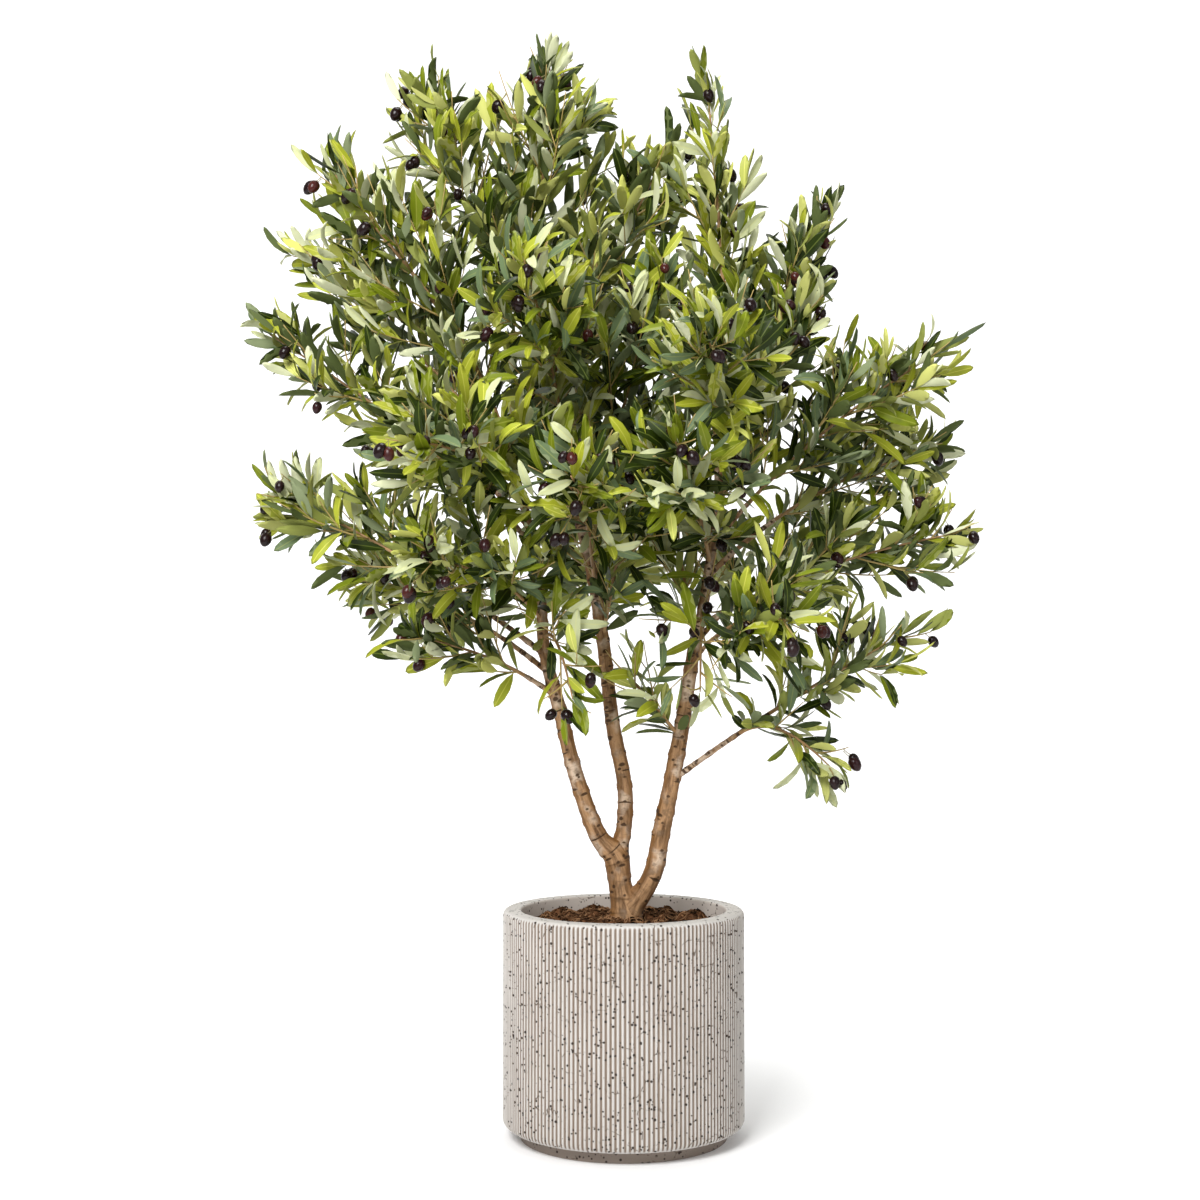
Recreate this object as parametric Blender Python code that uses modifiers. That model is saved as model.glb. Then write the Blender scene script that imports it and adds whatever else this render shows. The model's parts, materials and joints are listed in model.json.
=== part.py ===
"""A young olive tree in a ribbed stoneware planter, 1.76 m tall, in metres with +Z up.

The planter is a turned tub on a recessed foot, its wall cut by upright grooves. It is filled
with soil. A short trunk with a root flare stands on the soil and forks into three stems. Boughs
leave the stems, and each carries one mass of foliage: a tapering stem with side twigs, leaves in
opposite pairs and an olive, all fused into one solid. The origin is the middle of the foot's
underside, -Y is the front.
"""

import math
import random

import bmesh
import bpy
import numpy as np
from mathutils import Matrix, Quaternion, Vector
from mathutils.bvhtree import BVHTree
from mathutils.kdtree import KDTree

UP = Vector((0, 0, 1))
GAP = 0.0003  # clearance between pieces that rest against each other

# Planter
POT_RADIUS = 0.190
POT_HEIGHT = 0.355
POT_SIDES = 52
FOOT_RADIUS = 0.163
FOOT_HEIGHT = 0.0195
LOWER_ROUND = 0.012
RIM_WIDTH = 0.029
RIM_OUTER_ROUND = 0.009
RIM_INNER_ROUND = 0.004
FLOOR_THICKNESS = 0.030
WALL_DRAFT = 0.005  # how much narrower the inside is at its floor
RIBS = 3 * POT_SIDES
GROOVE_DEPTH = 0.0018
GROOVE_HALF_WIDTH = 0.0021
GROOVE_OPEN = 0.0004  # how far the cutters stand out of the wall
GROOVE_TOP = POT_HEIGHT - 0.012
GROOVE_FOOT = FOOT_HEIGHT + LOWER_ROUND + 0.002

# Soil
SOIL_HEIGHT = 0.338
SOIL_FLAT_RADIUS = 0.060
SOIL_DIP = 0.006  # how far the soil falls towards the wall
SOIL_BEND = (0.8, 0.6)  # where the fall steepens: share of the radius, and of the fall
SOIL_SIDES = POT_SIDES // 2
SOIL_GAP = 0.0005

# Trunk and stems: places on the centre line, and the radius there
TRUNK_FOOT = SOIL_HEIGHT + GAP
TRUNK = (
    ((0.0020, 0.000, TRUNK_FOOT), 0.0270),
    ((0.0015, 0.000, TRUNK_FOOT + 0.008), 0.0225),
    ((-0.0010, 0.000, 0.362), 0.0190),
    ((-0.0055, 0.000, 0.392), 0.0180),
    ((-0.0126, 0.000, 0.434), 0.0175),
)
LEFT_STEM = (
    ((-0.0427, -0.004, 0.475), 0.0142),
    ((-0.0767, -0.010, 0.571), 0.0120),
    ((-0.1005, -0.016, 0.668), 0.0109),
    ((-0.1244, -0.022, 0.761), 0.0096),
    ((-0.1308, -0.026, 0.842), 0.0084),
    ((-0.1517, -0.032, 0.970), 0.0068),
    ((-0.1885, -0.040, 1.097), 0.0052),
)
CENTRE_STEM = (
    ((-0.0095, 0.005, 0.420), 0.0130),
    ((0.0022, 0.012, 0.494), 0.0122),
    ((0.0009, 0.018, 0.557), 0.0117),
    ((-0.0165, 0.025, 0.644), 0.0112),
    ((-0.0324, 0.034, 0.779), 0.0105),
    ((-0.0498, 0.042, 0.887), 0.0096),
    ((-0.0753, 0.050, 1.001), 0.0082),
    ((-0.1009, 0.058, 1.145), 0.0066),
    ((-0.1201, 0.066, 1.273), 0.0052),
)
RIGHT_STEM = (
    ((0.0060, -0.003, TRUNK_FOOT + 0.006), 0.0165),
    ((0.0444, -0.010, 0.407), 0.0150),
    ((0.0594, -0.013, 0.475), 0.0140),
    ((0.0880, -0.018, 0.620), 0.0124),
    ((0.1105, -0.018, 0.761), 0.0098),
    ((0.1274, -0.014, 0.839), 0.0082),
    ((0.1500, -0.004, 1.001), 0.0066),
    ((0.1600, 0.010, 1.161), 0.0052),
)
FORK_TOP = 0.462  # the trunk's two upper stubs end at this height
RIGHT_STUB_TOP = 0.392
STEM_SIDES = 8
STEM_STEP = 0.055
LEAD = 0.006  # a limb runs straight this far from where it joins the one below
LIMB_GAP = 0.0004  # clearance of what is cut to sit against a limb's side

# Boughs
BOUGH_SIDES = 5
BOUGH_ROOT_RADIUS = 0.0046
BOUGH_TIP_RADIUS = 0.0032
BOUGH_STEP = 0.075

# A bough's line is a cubic curve. Its handles' lengths are shares of the straight way to its tip.
ROOT_HANDLE = 0.38
TIP_HANDLE = 0.34
TIP_DROOP = 0.6  # how much the line bends down at its tip, for each part that it arches

# Masses of foliage. Each row: name, the limb it springs from, the height at which it leaves that
# limb (None: from the limb's tip), its furthest tip, its half width, the share of its line that
# is a bare bough, and how much it arches over.
CROWN = (
    ("left_skirt", "left_stem", 0.690, (-0.350, -0.12, 0.790), 0.115, 0.22, 0.30),
    ("left_low", "left_stem", 0.755, (-0.606, 0.02, 1.043), 0.120, 0.30, 0.15),
    ("left_low_back", "left_stem", 0.725, (-0.470, 0.30, 0.890), 0.140, 0.32, 0.25),
    ("left_low_front", "left_stem", 0.810, (-0.300, -0.34, 0.885), 0.145, 0.00, 0.40),
    ("left_mid", "left_stem", 0.930, (-0.591, -0.05, 1.280), 0.105, 0.24, 0.20),
    ("left_mid_front", "left_stem", 0.980, (-0.310, -0.42, 1.045), 0.150, 0.00, 0.40),
    ("left_mid_back", "left_stem", 0.955, (-0.430, 0.42, 1.160), 0.150, 0.28, 0.25),
    ("left_high", "left_stem", 1.060, (-0.550, 0.08, 1.437), 0.100, 0.20, 0.20),
    ("left_crest", "left_stem", None, (-0.473, -0.08, 1.537), 0.150, 0.00, 0.00),
    ("back_low", "centre_stem", 0.800, (-0.040, 0.48, 0.930), 0.145, 0.30, 0.40),
    ("back_mid", "centre_stem", 0.990, (-0.130, 0.50, 1.240), 0.145, 0.26, 0.30),
    ("front_mid", "centre_stem", 0.860, (-0.080, -0.44, 1.000), 0.145, 0.00, 0.45),
    ("front_high", "centre_stem", 1.070, (-0.150, -0.36, 1.330), 0.140, 0.00, 0.30),
    ("back_high", "centre_stem", 1.150, (-0.030, 0.38, 1.480), 0.140, 0.00, 0.25),
    ("crest_left", "centre_stem", 1.210, (-0.345, 0.05, 1.706), 0.150, 0.12, 0.10),
    ("crest_mid", "centre_stem", None, (-0.119, 0.02, 1.766), 0.135, 0.00, 0.00),
    ("crest_right", "centre_stem", 1.190, (0.085, 0.04, 1.600), 0.140, 0.00, 0.10),
    ("heart", "centre_stem", 0.930, (0.070, -0.10, 1.380), 0.130, 0.00, 0.10),
    ("heart_low", "centre_stem", 0.780, (0.030, -0.20, 1.060), 0.125, 0.00, 0.30),
    ("right_crest", "right_stem", None, (0.135, 0.00, 1.693), 0.090, 0.00, 0.00),
    ("right_upper", "right_stem", 1.080, (0.336, 0.05, 1.499), 0.105, 0.20, 0.10),
    ("right_upper_front", "right_stem", 1.000, (0.110, -0.41, 1.230), 0.140, 0.22, 0.35),
    ("right_upper_back", "right_stem", 1.030, (0.220, 0.41, 1.340), 0.145, 0.24, 0.30),
    ("right_high", "right_stem", 0.980, (0.296, -0.06, 1.350), 0.110, 0.00, 0.10),
    ("right_mid", "right_stem", 0.930, (0.512, -0.08, 1.239), 0.135, 0.20, 0.30),
    ("right_mid_low", "right_stem", 0.880, (0.572, 0.12, 1.110), 0.130, 0.28, 0.40),
    ("right_low_far", "right_stem", 0.800, (0.565, -0.04, 0.954), 0.135, 0.20, 0.25),
    ("right_mid_front", "right_stem", 0.900, (0.060, -0.40, 1.060), 0.140, 0.00, 0.30),
    ("between", "right_stem", 0.780, (0.030, 0.05, 1.180), 0.130, 0.00, 0.20),
    ("right_low_front", "right_stem", 0.740, (0.240, -0.36, 0.800), 0.140, 0.14, 0.45),
    ("right_low_back", "right_stem", 0.770, (0.370, 0.38, 0.920), 0.145, 0.24, 0.35),
    ("right_skirt", "right_stem", 0.557, (0.465, -0.08, 0.805), 0.105, 0.40, 0.10),
    ("low_right_spray", "right_skirt_bough", 0.632, (0.336, -0.15, 0.556), 0.080, 0.00, 0.90),
    ("inner_sprig", "right_stem", 0.625, (-0.030, -0.10, 0.760), 0.085, 0.00, 0.10),
    ("left_inner", "left_stem", 0.780, (-0.070, -0.20, 0.655), 0.105, 0.00, 0.90),
    ("right_inner", "right_stem", 0.825, (0.110, -0.20, 0.665), 0.120, 0.00, 0.70),
)

# How a mass grows. Its leaves are larger than life, because each stands for a spray of them.
# Stems and twigs are three-sided, and their radii are to their corners.
STEM_ROOT_RADIUS = 0.0050
STEM_TIP_RADIUS = 0.0036
CORNER_SHARE = 1.45  # a three-sided stem's radius over that of the round limb it goes on from
TWIG_SIDES = 3
TWIG_RADIUS = 0.0021
TWIG_TAPER = 0.80  # a side twig's radius at its end, as a share
NODE_SPACING = 0.100  # between the places on a stem where a twig and a leaf face each other
TWIG_SLANT = math.radians(46)
SHORTEST_TWIG = 0.055
TWIG_LIFT = 0.12  # how much a twig bends up from its slant
TWIG_SHARES = (1.0, 0.7, 0.45)  # the lengths that a twig is tried at
FIRST_NODE = 0.06  # share of the stem below its first twig
LAST_NODE = 0.90
TWIG_PAIRS = (0.40, 0.80)  # where a side twig has its pairs of leaves
LEAF_LENGTH = 0.145
LEAF_WIDTH = 0.037
LEAF_THICKNESS = 0.0045
LEAF_SLANT = math.radians(42)
END_SLANT = 0.15  # the leaf at a twig's end goes on almost straight
LEAF_LIFT = 0.1
LEAF_ROLL = 0.8  # how far a leaf may be rolled about its length, in radians
LEAF_SHARES = (1, 0.85, 0.7)  # the sizes that a leaf is tried at
LEAF_BEYOND = 0.6  # how far a side twig's leaves go on beyond it, in leaf lengths
LAST_BEYOND = 0.9  # how far the mass's last leaf goes on beyond its stem
LEAF_SHOULDERS = (0.26, 0.64)  # the shares of its length between which a leaf is widest
LEAF_STAGGER = 0.0030  # how much further along a leaf is than the one it faces, per radian
LEAF_SUNK = 0.0008  # how far behind its twig's middle a leaf starts
END_SUNK = 0.0030  # how far behind its twig's end the leaf at the end starts
GOLDEN_TURN = math.radians(137.5)
FRUITING = ("left_mid_front", "left_low_front", "front_mid", "front_high", "heart", "left_low",
            "right_upper_front", "right_low_front", "right_mid", "back_mid", "crest_mid")
OLIVE_LENGTH = 0.024
OLIVE_WIDTH = 0.019
OLIVE_PLACE = 0.45  # share of the stem
OLIVE_SWING = 0.3  # how far aside an olive hangs, for each part down
TRIES = (0, 25, -25, 50, -50, 80, -80, 110, -110, 180)  # degrees round its twig
ROOM = 0.003  # how much nearer a leaf stays to its own mass's line than to any other
REACH = 1.30  # how far from its mass's line a leaf may end, in half widths of the mass
SPINDLE = (0.20, 0.74)  # the stretch of half a wave that a mass's width follows along its line
LINE_SAMPLES = 40
LIMB_ROOM = 0.002
LIMB_SAMPLE = 0.006
ROOT_CLEAR = 0.005  # length at a leaf's or twig's root that may touch what it grows from

MATERIALS = {
    "stoneware": ((0.66, 0.61, 0.56), 0.85),
    "soil": ((0.09, 0.05, 0.03), 0.95),
    "bark": ((0.36, 0.25, 0.16), 0.80),
    "foliage": ((0.17, 0.26, 0.09), 0.50),
}


def material(name):
    """The finish of that name, made once."""
    made = bpy.data.materials.get(name)
    if made is None:
        colour, roughness = MATERIALS[name]
        made = bpy.data.materials.new(name)
        made.use_nodes = True
        shader = made.node_tree.nodes["Principled BSDF"]
        shader.inputs["Base Color"].default_value = (*colour, 1)
        shader.inputs["Roughness"].default_value = roughness
        shader.inputs["Metallic"].default_value = 0
    return made


def collection(name):
    made = bpy.data.collections.new(name)
    bpy.context.scene.collection.children.link(made)
    return made


def mesh_object(name, mesh, finish, home):
    made = bpy.data.objects.new(name, mesh)
    mesh.materials.clear()
    mesh.materials.append(material(finish))
    home.objects.link(made)
    return made


def evaluated_mesh(item):
    """The object's mesh with its modifiers, or a curve's tube, as a mesh of its own."""
    graph = bpy.context.evaluated_depsgraph_get()
    return bpy.data.meshes.new_from_object(item.evaluated_get(graph))


def hide_tool(item):
    """Marks a cutter or a guide, which is no part of the tree."""
    item.hide_render = True
    item.display_type = "WIRE"


# ---------------------------------------------------------------- planter and soil


def arc(centre, radius, start, end, steps):
    """Points (radius, height) on a round edge, from one angle in degrees to another."""
    angles = (math.radians(start + (end - start) * i / steps) for i in range(steps + 1))
    return [(centre[0] + radius * math.cos(a), centre[1] + radius * math.sin(a)) for a in angles]


def inner_radius(height):
    """Radius of the planter's inside at a height."""
    fall = (POT_HEIGHT - height) / (POT_HEIGHT - FLOOR_THICKNESS)
    return POT_RADIUS - RIM_WIDTH - WALL_DRAFT * fall


def turned(name, profile, sides, finish, home):
    """A turned solid: the profile of (radius, height) points, spun about Z by a Screw modifier."""
    mesh = bpy.data.meshes.new(name)
    edges = [(i, i + 1) for i in range(len(profile) - 1)]
    mesh.from_pydata([(r, 0, z) for r, z in profile], edges, [])
    made = mesh_object(name, mesh, finish, home)
    spin = made.modifiers.new("Turn", "SCREW")
    spin.axis = "Z"
    spin.steps = spin.render_steps = sides
    spin.use_merge_vertices = True
    spin.merge_threshold = 0.00001
    spin.use_smooth_shade = False
    return made


def groove_cutter(home):
    """One upright three-sided prism for each groove round the wall."""
    shape = bmesh.new()
    height = GROOVE_TOP - GROOVE_FOOT
    # A triangle of unit radius has one corner at +Y, half a unit below the middle of its far side.
    size = Matrix.Diagonal((GROOVE_HALF_WIDTH / math.sin(math.tau / 3), GROOVE_DEPTH / 1.5, 1, 1))
    inwards = Matrix.Rotation(math.pi / 2, 4, "Z")
    wall = POT_RADIUS * math.cos(math.pi / POT_SIDES)
    middle = wall + GROOVE_OPEN - GROOVE_DEPTH / 3
    place = Matrix.Translation((middle, 0, GROOVE_FOOT + height / 2))
    for i in range(RIBS):
        prism = bmesh.ops.create_cone(
            shape, cap_ends=True, segments=3, radius1=1, radius2=1, depth=height
        )
        turn = Matrix.Rotation(math.tau * (i + 0.5) / RIBS, 4, "Z")
        bmesh.ops.transform(shape, verts=prism["verts"], matrix=turn @ place @ inwards @ size)
    mesh = bpy.data.meshes.new("grooves")
    shape.to_mesh(mesh)
    shape.free()
    made = mesh_object("grooves", mesh, "stoneware", home)
    hide_tool(made)
    return made


def make_pot(home, tools):
    under = FOOT_HEIGHT + LOWER_ROUND
    rim_out, rim_in = POT_RADIUS - RIM_OUTER_ROUND, POT_RADIUS - RIM_WIDTH + RIM_INNER_ROUND
    profile = [
        (0, FLOOR_THICKNESS),
        (inner_radius(FLOOR_THICKNESS), FLOOR_THICKNESS),
        *arc((rim_in, POT_HEIGHT - RIM_INNER_ROUND), RIM_INNER_ROUND, 180, 90, 1),
        *arc((rim_out, POT_HEIGHT - RIM_OUTER_ROUND), RIM_OUTER_ROUND, 90, 0, 3),
        *arc((POT_RADIUS - LOWER_ROUND, under), LOWER_ROUND, 0, -90, 2),
        (FOOT_RADIUS, FOOT_HEIGHT),
        (FOOT_RADIUS, 0),
        (0, 0),
    ]
    pot = turned("pot", profile, POT_SIDES, "stoneware", home)
    cut = pot.modifiers.new("Grooves", "BOOLEAN")
    cut.operation = "DIFFERENCE"
    cut.object = groove_cutter(tools)


def make_soil(home):
    """The soil, from the planter's floor to its top, which falls a little towards the wall."""
    bottom, edge = FLOOR_THICKNESS + SOIL_GAP, SOIL_HEIGHT - SOIL_DIP
    bend_radius, bend_fall = SOIL_BEND
    profile = [
        (0, SOIL_HEIGHT),
        (SOIL_FLAT_RADIUS, SOIL_HEIGHT),
        (inner_radius(edge) * bend_radius, SOIL_HEIGHT - SOIL_DIP * bend_fall),
        (inner_radius(edge) - SOIL_GAP, edge),
        (inner_radius(bottom) - SOIL_GAP, bottom),
        (0, bottom),
    ]
    turned("soil", profile, SOIL_SIDES, "soil", home)


# ---------------------------------------------------------------- lines and limbs


class Line:
    """A smooth line with a radius at each of its points."""

    def __init__(self, points, radii):
        self.points = [Vector(p) for p in points]
        self.radii = list(radii)
        self.along = [0.0]
        for a, b in zip(self.points, self.points[1:]):
            self.along.append(self.along[-1] + (b - a).length)

    @property
    def length(self):
        return self.along[-1]

    def at(self, distance):
        """(place, direction, radius) at a distance along the line."""
        i = 1
        while i < len(self.along) - 1 and self.along[i] < distance:
            i += 1
        a, b = self.points[i - 1], self.points[i]
        share = (distance - self.along[i - 1]) / (self.along[i] - self.along[i - 1])
        radius = self.radii[i - 1] + (self.radii[i] - self.radii[i - 1]) * share
        return a.lerp(b, share), (b - a).normalized(), radius

    def at_height(self, height):
        """Distance along the line at which it reaches a height."""
        for i, (a, b) in enumerate(zip(self.points, self.points[1:])):
            if a.z <= height <= b.z:
                return self.along[i] + (b - a).length * (height - a.z) / (b.z - a.z)
        raise ValueError(f"the line doesn't reach the height {height}")

    def part(self, start, end, step, joins_start=False, joins_end=False):
        """The stretch of the line between two distances, with points about a step apart.

        An end that joins another stretch is square to the line there, half the gap short of it.
        """
        count = max(2, math.ceil((end - start) / step) + 1)
        places = [self.at(start + (end - start) * i / (count - 1)) for i in range(count)]
        points, radii = [p[0] for p in places], [p[2] for p in places]
        for joins, distance, i, way in ((joins_start, start, 0, 1), (joins_end, end, -1, -1)):
            if joins:
                ahead, behind = self.at(distance + LEAD)[0], self.at(distance - LEAD)[0]
                square = (ahead - behind).normalized() * way
                points[i:i + 1 or None] = [
                    points[i] + square * reach for reach in (GAP / 2, GAP / 2 + LEAD)[::way]
                ]
                radii[i:i + 1 or None] = [radii[i]] * 2
        return Line(points, radii)


def smooth_line(knots, steps=8):
    """A Catmull-Rom line through (place, radius) knots."""
    places = [Vector((*place, radius)) for place, radius in knots]
    padded = [places[0] * 2 - places[1], *places, places[-1] * 2 - places[-2]]
    points = []
    for a, b, c, d in zip(padded, padded[1:], padded[2:], padded[3:]):
        for i in range(steps):
            t = i / steps
            points.append(
                0.5 * (2 * b + (c - a) * t + (2 * a - 5 * b + 4 * c - d) * t * t
                       + (3 * b - a - 3 * c + d) * t ** 3)
            )
    points.append(places[-1])
    return Line([p.to_3d() for p in points], [p.w for p in points])


def arched_line(start, tip, arch, leaving=None, steps=24):
    """A bough's line from its root to its furthest tip. It leaves steeply and arches over."""
    chord = tip - start
    forward = chord.normalized()
    out = (forward + UP * arch).normalized() if leaving is None else leaving
    handle = start + out * chord.length * ROOT_HANDLE
    end_way = (forward - UP * arch * TIP_DROOP).normalized()
    end_handle = tip - end_way * chord.length * TIP_HANDLE
    points = []
    for i in range(steps + 1):
        t = i / steps
        s = 1 - t
        points.append(
            s ** 3 * start + 3 * s * s * t * handle + 3 * s * t * t * end_handle + t ** 3 * tip
        )
    return Line(points, [0.0] * len(points))


def tapered(line, start, end, root_radius, tip_radius, step):
    """A stretch of a line whose radius falls evenly from one end to the other."""
    made = line.part(start, end, step)
    made.radii = [root_radius + (tip_radius - root_radius) * a / made.length for a in made.along]
    return made


def section(sides):
    """A guide curve: a polygon of unit radius, which a limb's line is bevelled with."""
    name = f"section_{sides}"
    made = bpy.data.objects.get(name)
    if made is None:
        shape = bpy.data.curves.new(name, "CURVE")
        outline = shape.splines.new("POLY")
        outline.points.add(sides - 1)
        for i, point in enumerate(outline.points):
            turn = math.tau * i / sides
            point.co = (math.cos(turn), math.sin(turn), 0, 1)
        outline.use_cyclic_u = True
        made = bpy.data.objects.new(name, shape)
        bpy.data.collections["tools"].objects.link(made)
        hide_tool(made)
    return made


def limb(name, line, sides, finish, home, more=0.0):
    """A tapering tube round a line, more thick by more, as a closed mesh."""
    curve = bpy.data.curves.new(name, "CURVE")
    curve.dimensions = "3D"
    curve.bevel_mode = "OBJECT"
    curve.bevel_object = section(sides)
    curve.use_fill_caps = True
    spline = curve.splines.new("POLY")
    spline.points.add(len(line.points) - 1)
    for point, place, radius in zip(spline.points, line.points, line.radii):
        point.co = (*place, 1)
        point.radius = radius + more
    guide = bpy.data.objects.new(name, curve)
    home.objects.link(guide)
    mesh = evaluated_mesh(guide)
    bpy.data.objects.remove(guide)
    shape = bmesh.new()
    shape.from_mesh(mesh)
    bmesh.ops.remove_doubles(shape, verts=shape.verts, dist=0.000001)
    bmesh.ops.recalc_face_normals(shape, faces=shape.faces)
    shape.to_mesh(mesh)
    shape.free()
    return mesh_object(name, mesh, finish, home)


def boolean(item, operation, others):
    """Joins other objects to this one, or cuts it by them, and removes them."""
    held = collection("held")
    for other in others:
        for old in list(other.users_collection):
            old.objects.unlink(other)
        held.objects.link(other)
    change = item.modifiers.new("Join", "BOOLEAN")
    change.operation = operation
    change.operand_type = "COLLECTION"
    change.collection = held
    mesh = evaluated_mesh(item)
    item.modifiers.clear()
    item.data = mesh
    for other in others:
        bpy.data.objects.remove(other)
    bpy.data.collections.remove(held)
    keep_largest(mesh)


def keep_largest(mesh):
    """Fills sealed hollows and drops loose scraps: only the largest closed surface stays."""
    shape = bmesh.new()
    shape.from_mesh(mesh)
    bmesh.ops.triangulate(shape, faces=shape.faces)
    left, islands = set(shape.verts), []
    while left:
        island, todo = set(), [left.pop()]
        while todo:
            vert = todo.pop()
            island.add(vert)
            near = {edge.other_vert(vert) for edge in vert.link_edges} & left
            left -= near
            todo.extend(near)
        islands.append(island)
    largest = max(islands, key=len)
    loose = [vert for island in islands if island is not largest for vert in island]
    bmesh.ops.delete(shape, geom=loose, context="VERTS")
    shape.to_mesh(mesh)
    shape.free()


# ---------------------------------------------------------------- trunk and stems


def make_trunk(home, tools):
    """The trunk with its flare and the stubs of its two forks, and the three stems on them."""
    lines = {
        "left_stem": (smooth_line(TRUNK + LEFT_STEM), FORK_TOP),
        "centre_stem": (smooth_line(CENTRE_STEM), FORK_TOP),
        "right_stem": (smooth_line(RIGHT_STEM), RIGHT_STUB_TOP),
    }
    stubs, stems = [], {}
    for name, (line, stub_top) in lines.items():
        top = line.at_height(stub_top)
        stub = line.part(0, top, STEM_STEP / 2, joins_end=True)
        if name == "left_stem":
            stub.points[1] = Vector((stub.points[0].x, stub.points[0].y, stub.points[1].z))
        stubs.append(limb(f"{name}_stub", stub, STEM_SIDES, "bark", tools))
        stems[name] = line.part(top, line.length, STEM_STEP, joins_start=True)
        limb(name, stems[name], STEM_SIDES, "bark", home)
    trunk = stubs[0]
    boolean(trunk, "UNION", stubs[1:])
    ground = bmesh.new()
    bmesh.ops.create_cube(ground, size=0.2)
    bmesh.ops.translate(ground, verts=ground.verts, vec=(0, 0, TRUNK_FOOT - 0.1))
    mesh = bpy.data.meshes.new("below_ground")
    ground.to_mesh(mesh)
    ground.free()
    boolean(trunk, "DIFFERENCE", [mesh_object("below_ground", mesh, "soil", tools)])
    trunk.name = "trunk"
    tools.objects.unlink(trunk)
    home.objects.link(trunk)
    return stems


# ---------------------------------------------------------------- foliage


class Mass:
    """One mass of foliage: its line, the bare share that is its bough, and its width."""

    def __init__(self, row, limbs):
        self.name, parent, leaves_at, tip, self.width, self.bare, arch = row
        self.parent = limbs[parent]
        self.parent_name = parent
        self.from_tip = leaves_at is None
        if self.from_tip:
            place, heading, _ = self.parent.at(self.parent.length)
            self.line = arched_line(place, Vector(tip), arch, heading)
        else:
            place, _, _ = self.parent.at(self.parent.at_height(leaves_at))
            self.line = arched_line(place, Vector(tip), arch)
        self.split = self.line.length * self.bare

    def bough(self):
        return tapered(
            self.line, 0, self.split, BOUGH_ROOT_RADIUS, BOUGH_TIP_RADIUS, BOUGH_STEP
        )

    def leafy_line(self):
        return self.line.part(self.split, self.line.length, 0.01)

    def stem(self):
        """The leafy stem, from the bough's tip to near the furthest tip, where its last leaf ends."""
        start = self.parent.radii[-1] * CORNER_SHARE if self.from_tip else STEM_ROOT_RADIUS
        end = self.line.length - LEAF_LENGTH * LAST_BEYOND
        stem = tapered(self.line, self.split, end, start, STEM_TIP_RADIUS, NODE_SPACING)
        if self.bare or self.from_tip:
            # Its first end stays clear of the limb's last, although the two are a little askew.
            before = self.bough().points if self.bare else self.parent.points
            onwards = stem.points[1] - stem.points[0]
            askew = onwards.angle(before[-1] - before[-2])
            stem.points[0] += onwards.normalized() * (GAP + start * math.sin(askew))
        return stem


def unit_mesh(name, shape):
    mesh = bpy.data.meshes.new(name)
    shape.to_mesh(mesh)
    shape.free()
    return mesh


def leaf_mesh():
    """A leaf of unit size along +X: flat above, with a keel below from its root to its tip."""
    shape = bmesh.new()
    corners = [(x, y, 1) for x in LEAF_SHOULDERS for y in (-0.5, 0.5)]
    for corner in ((0, 0, 0), *corners, (1, 0, 0)):
        shape.verts.new(corner)
    bmesh.ops.convex_hull(shape, input=shape.verts)
    return unit_mesh("leaf", shape)


def twig_mesh():
    """A side twig of unit size along +X: a tapering three-sided prism."""
    shape = bmesh.new()
    prism = bmesh.ops.create_cone(
        shape, cap_ends=True, segments=TWIG_SIDES, radius1=1, radius2=TWIG_TAPER, depth=1
    )
    lie = Matrix.Translation((0.5, 0, 0)) @ Matrix.Rotation(math.pi / 2, 4, "Y")
    bmesh.ops.transform(shape, verts=prism["verts"], matrix=lie)
    return unit_mesh("twig", shape)


def olive_mesh():
    shape = bmesh.new()
    bmesh.ops.create_icosphere(
        shape, subdivisions=1, radius=0.5, matrix=Matrix.Rotation(math.pi / 2, 4, "Y")
    )
    return unit_mesh("olive", shape)


def across(direction, turn):
    """A direction square to another, turned round it."""
    side = direction.orthogonal().normalized()
    return Quaternion(direction, turn) @ side


def slanted(heading, turn, slant, lift):
    """A direction that leaves a heading at a slant, and bends up a little."""
    out = across(heading, turn)
    return (heading * math.cos(slant) + out * math.sin(slant) + UP * lift).normalized()


def placed(place, direction, facing, size):
    """The matrix that puts a unit leaf or olive at a place, along a direction."""
    side = facing.cross(direction).normalized()
    axes = Matrix((direction, side, direction.cross(side))).transposed().to_4x4()
    return Matrix.Translation(place) @ axes @ Matrix.Diagonal((*size, 1))


def room_at(share):
    """How wide a mass may be at a share of its line, as a share of its full width: a spindle."""
    start, stretch = SPINDLE
    return math.sin(math.pi * (start + stretch * share))


def tree_of(lines):
    """A look-up of places along lines."""
    shares = [i / LINE_SAMPLES for i in range(LINE_SAMPLES + 1)]
    places = [line.at(line.length * share)[0] for line in lines for share in shares]
    tree = KDTree(len(places))
    for i, place in enumerate(places):
        tree.insert(place, i)
    tree.balance()
    return tree


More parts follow.
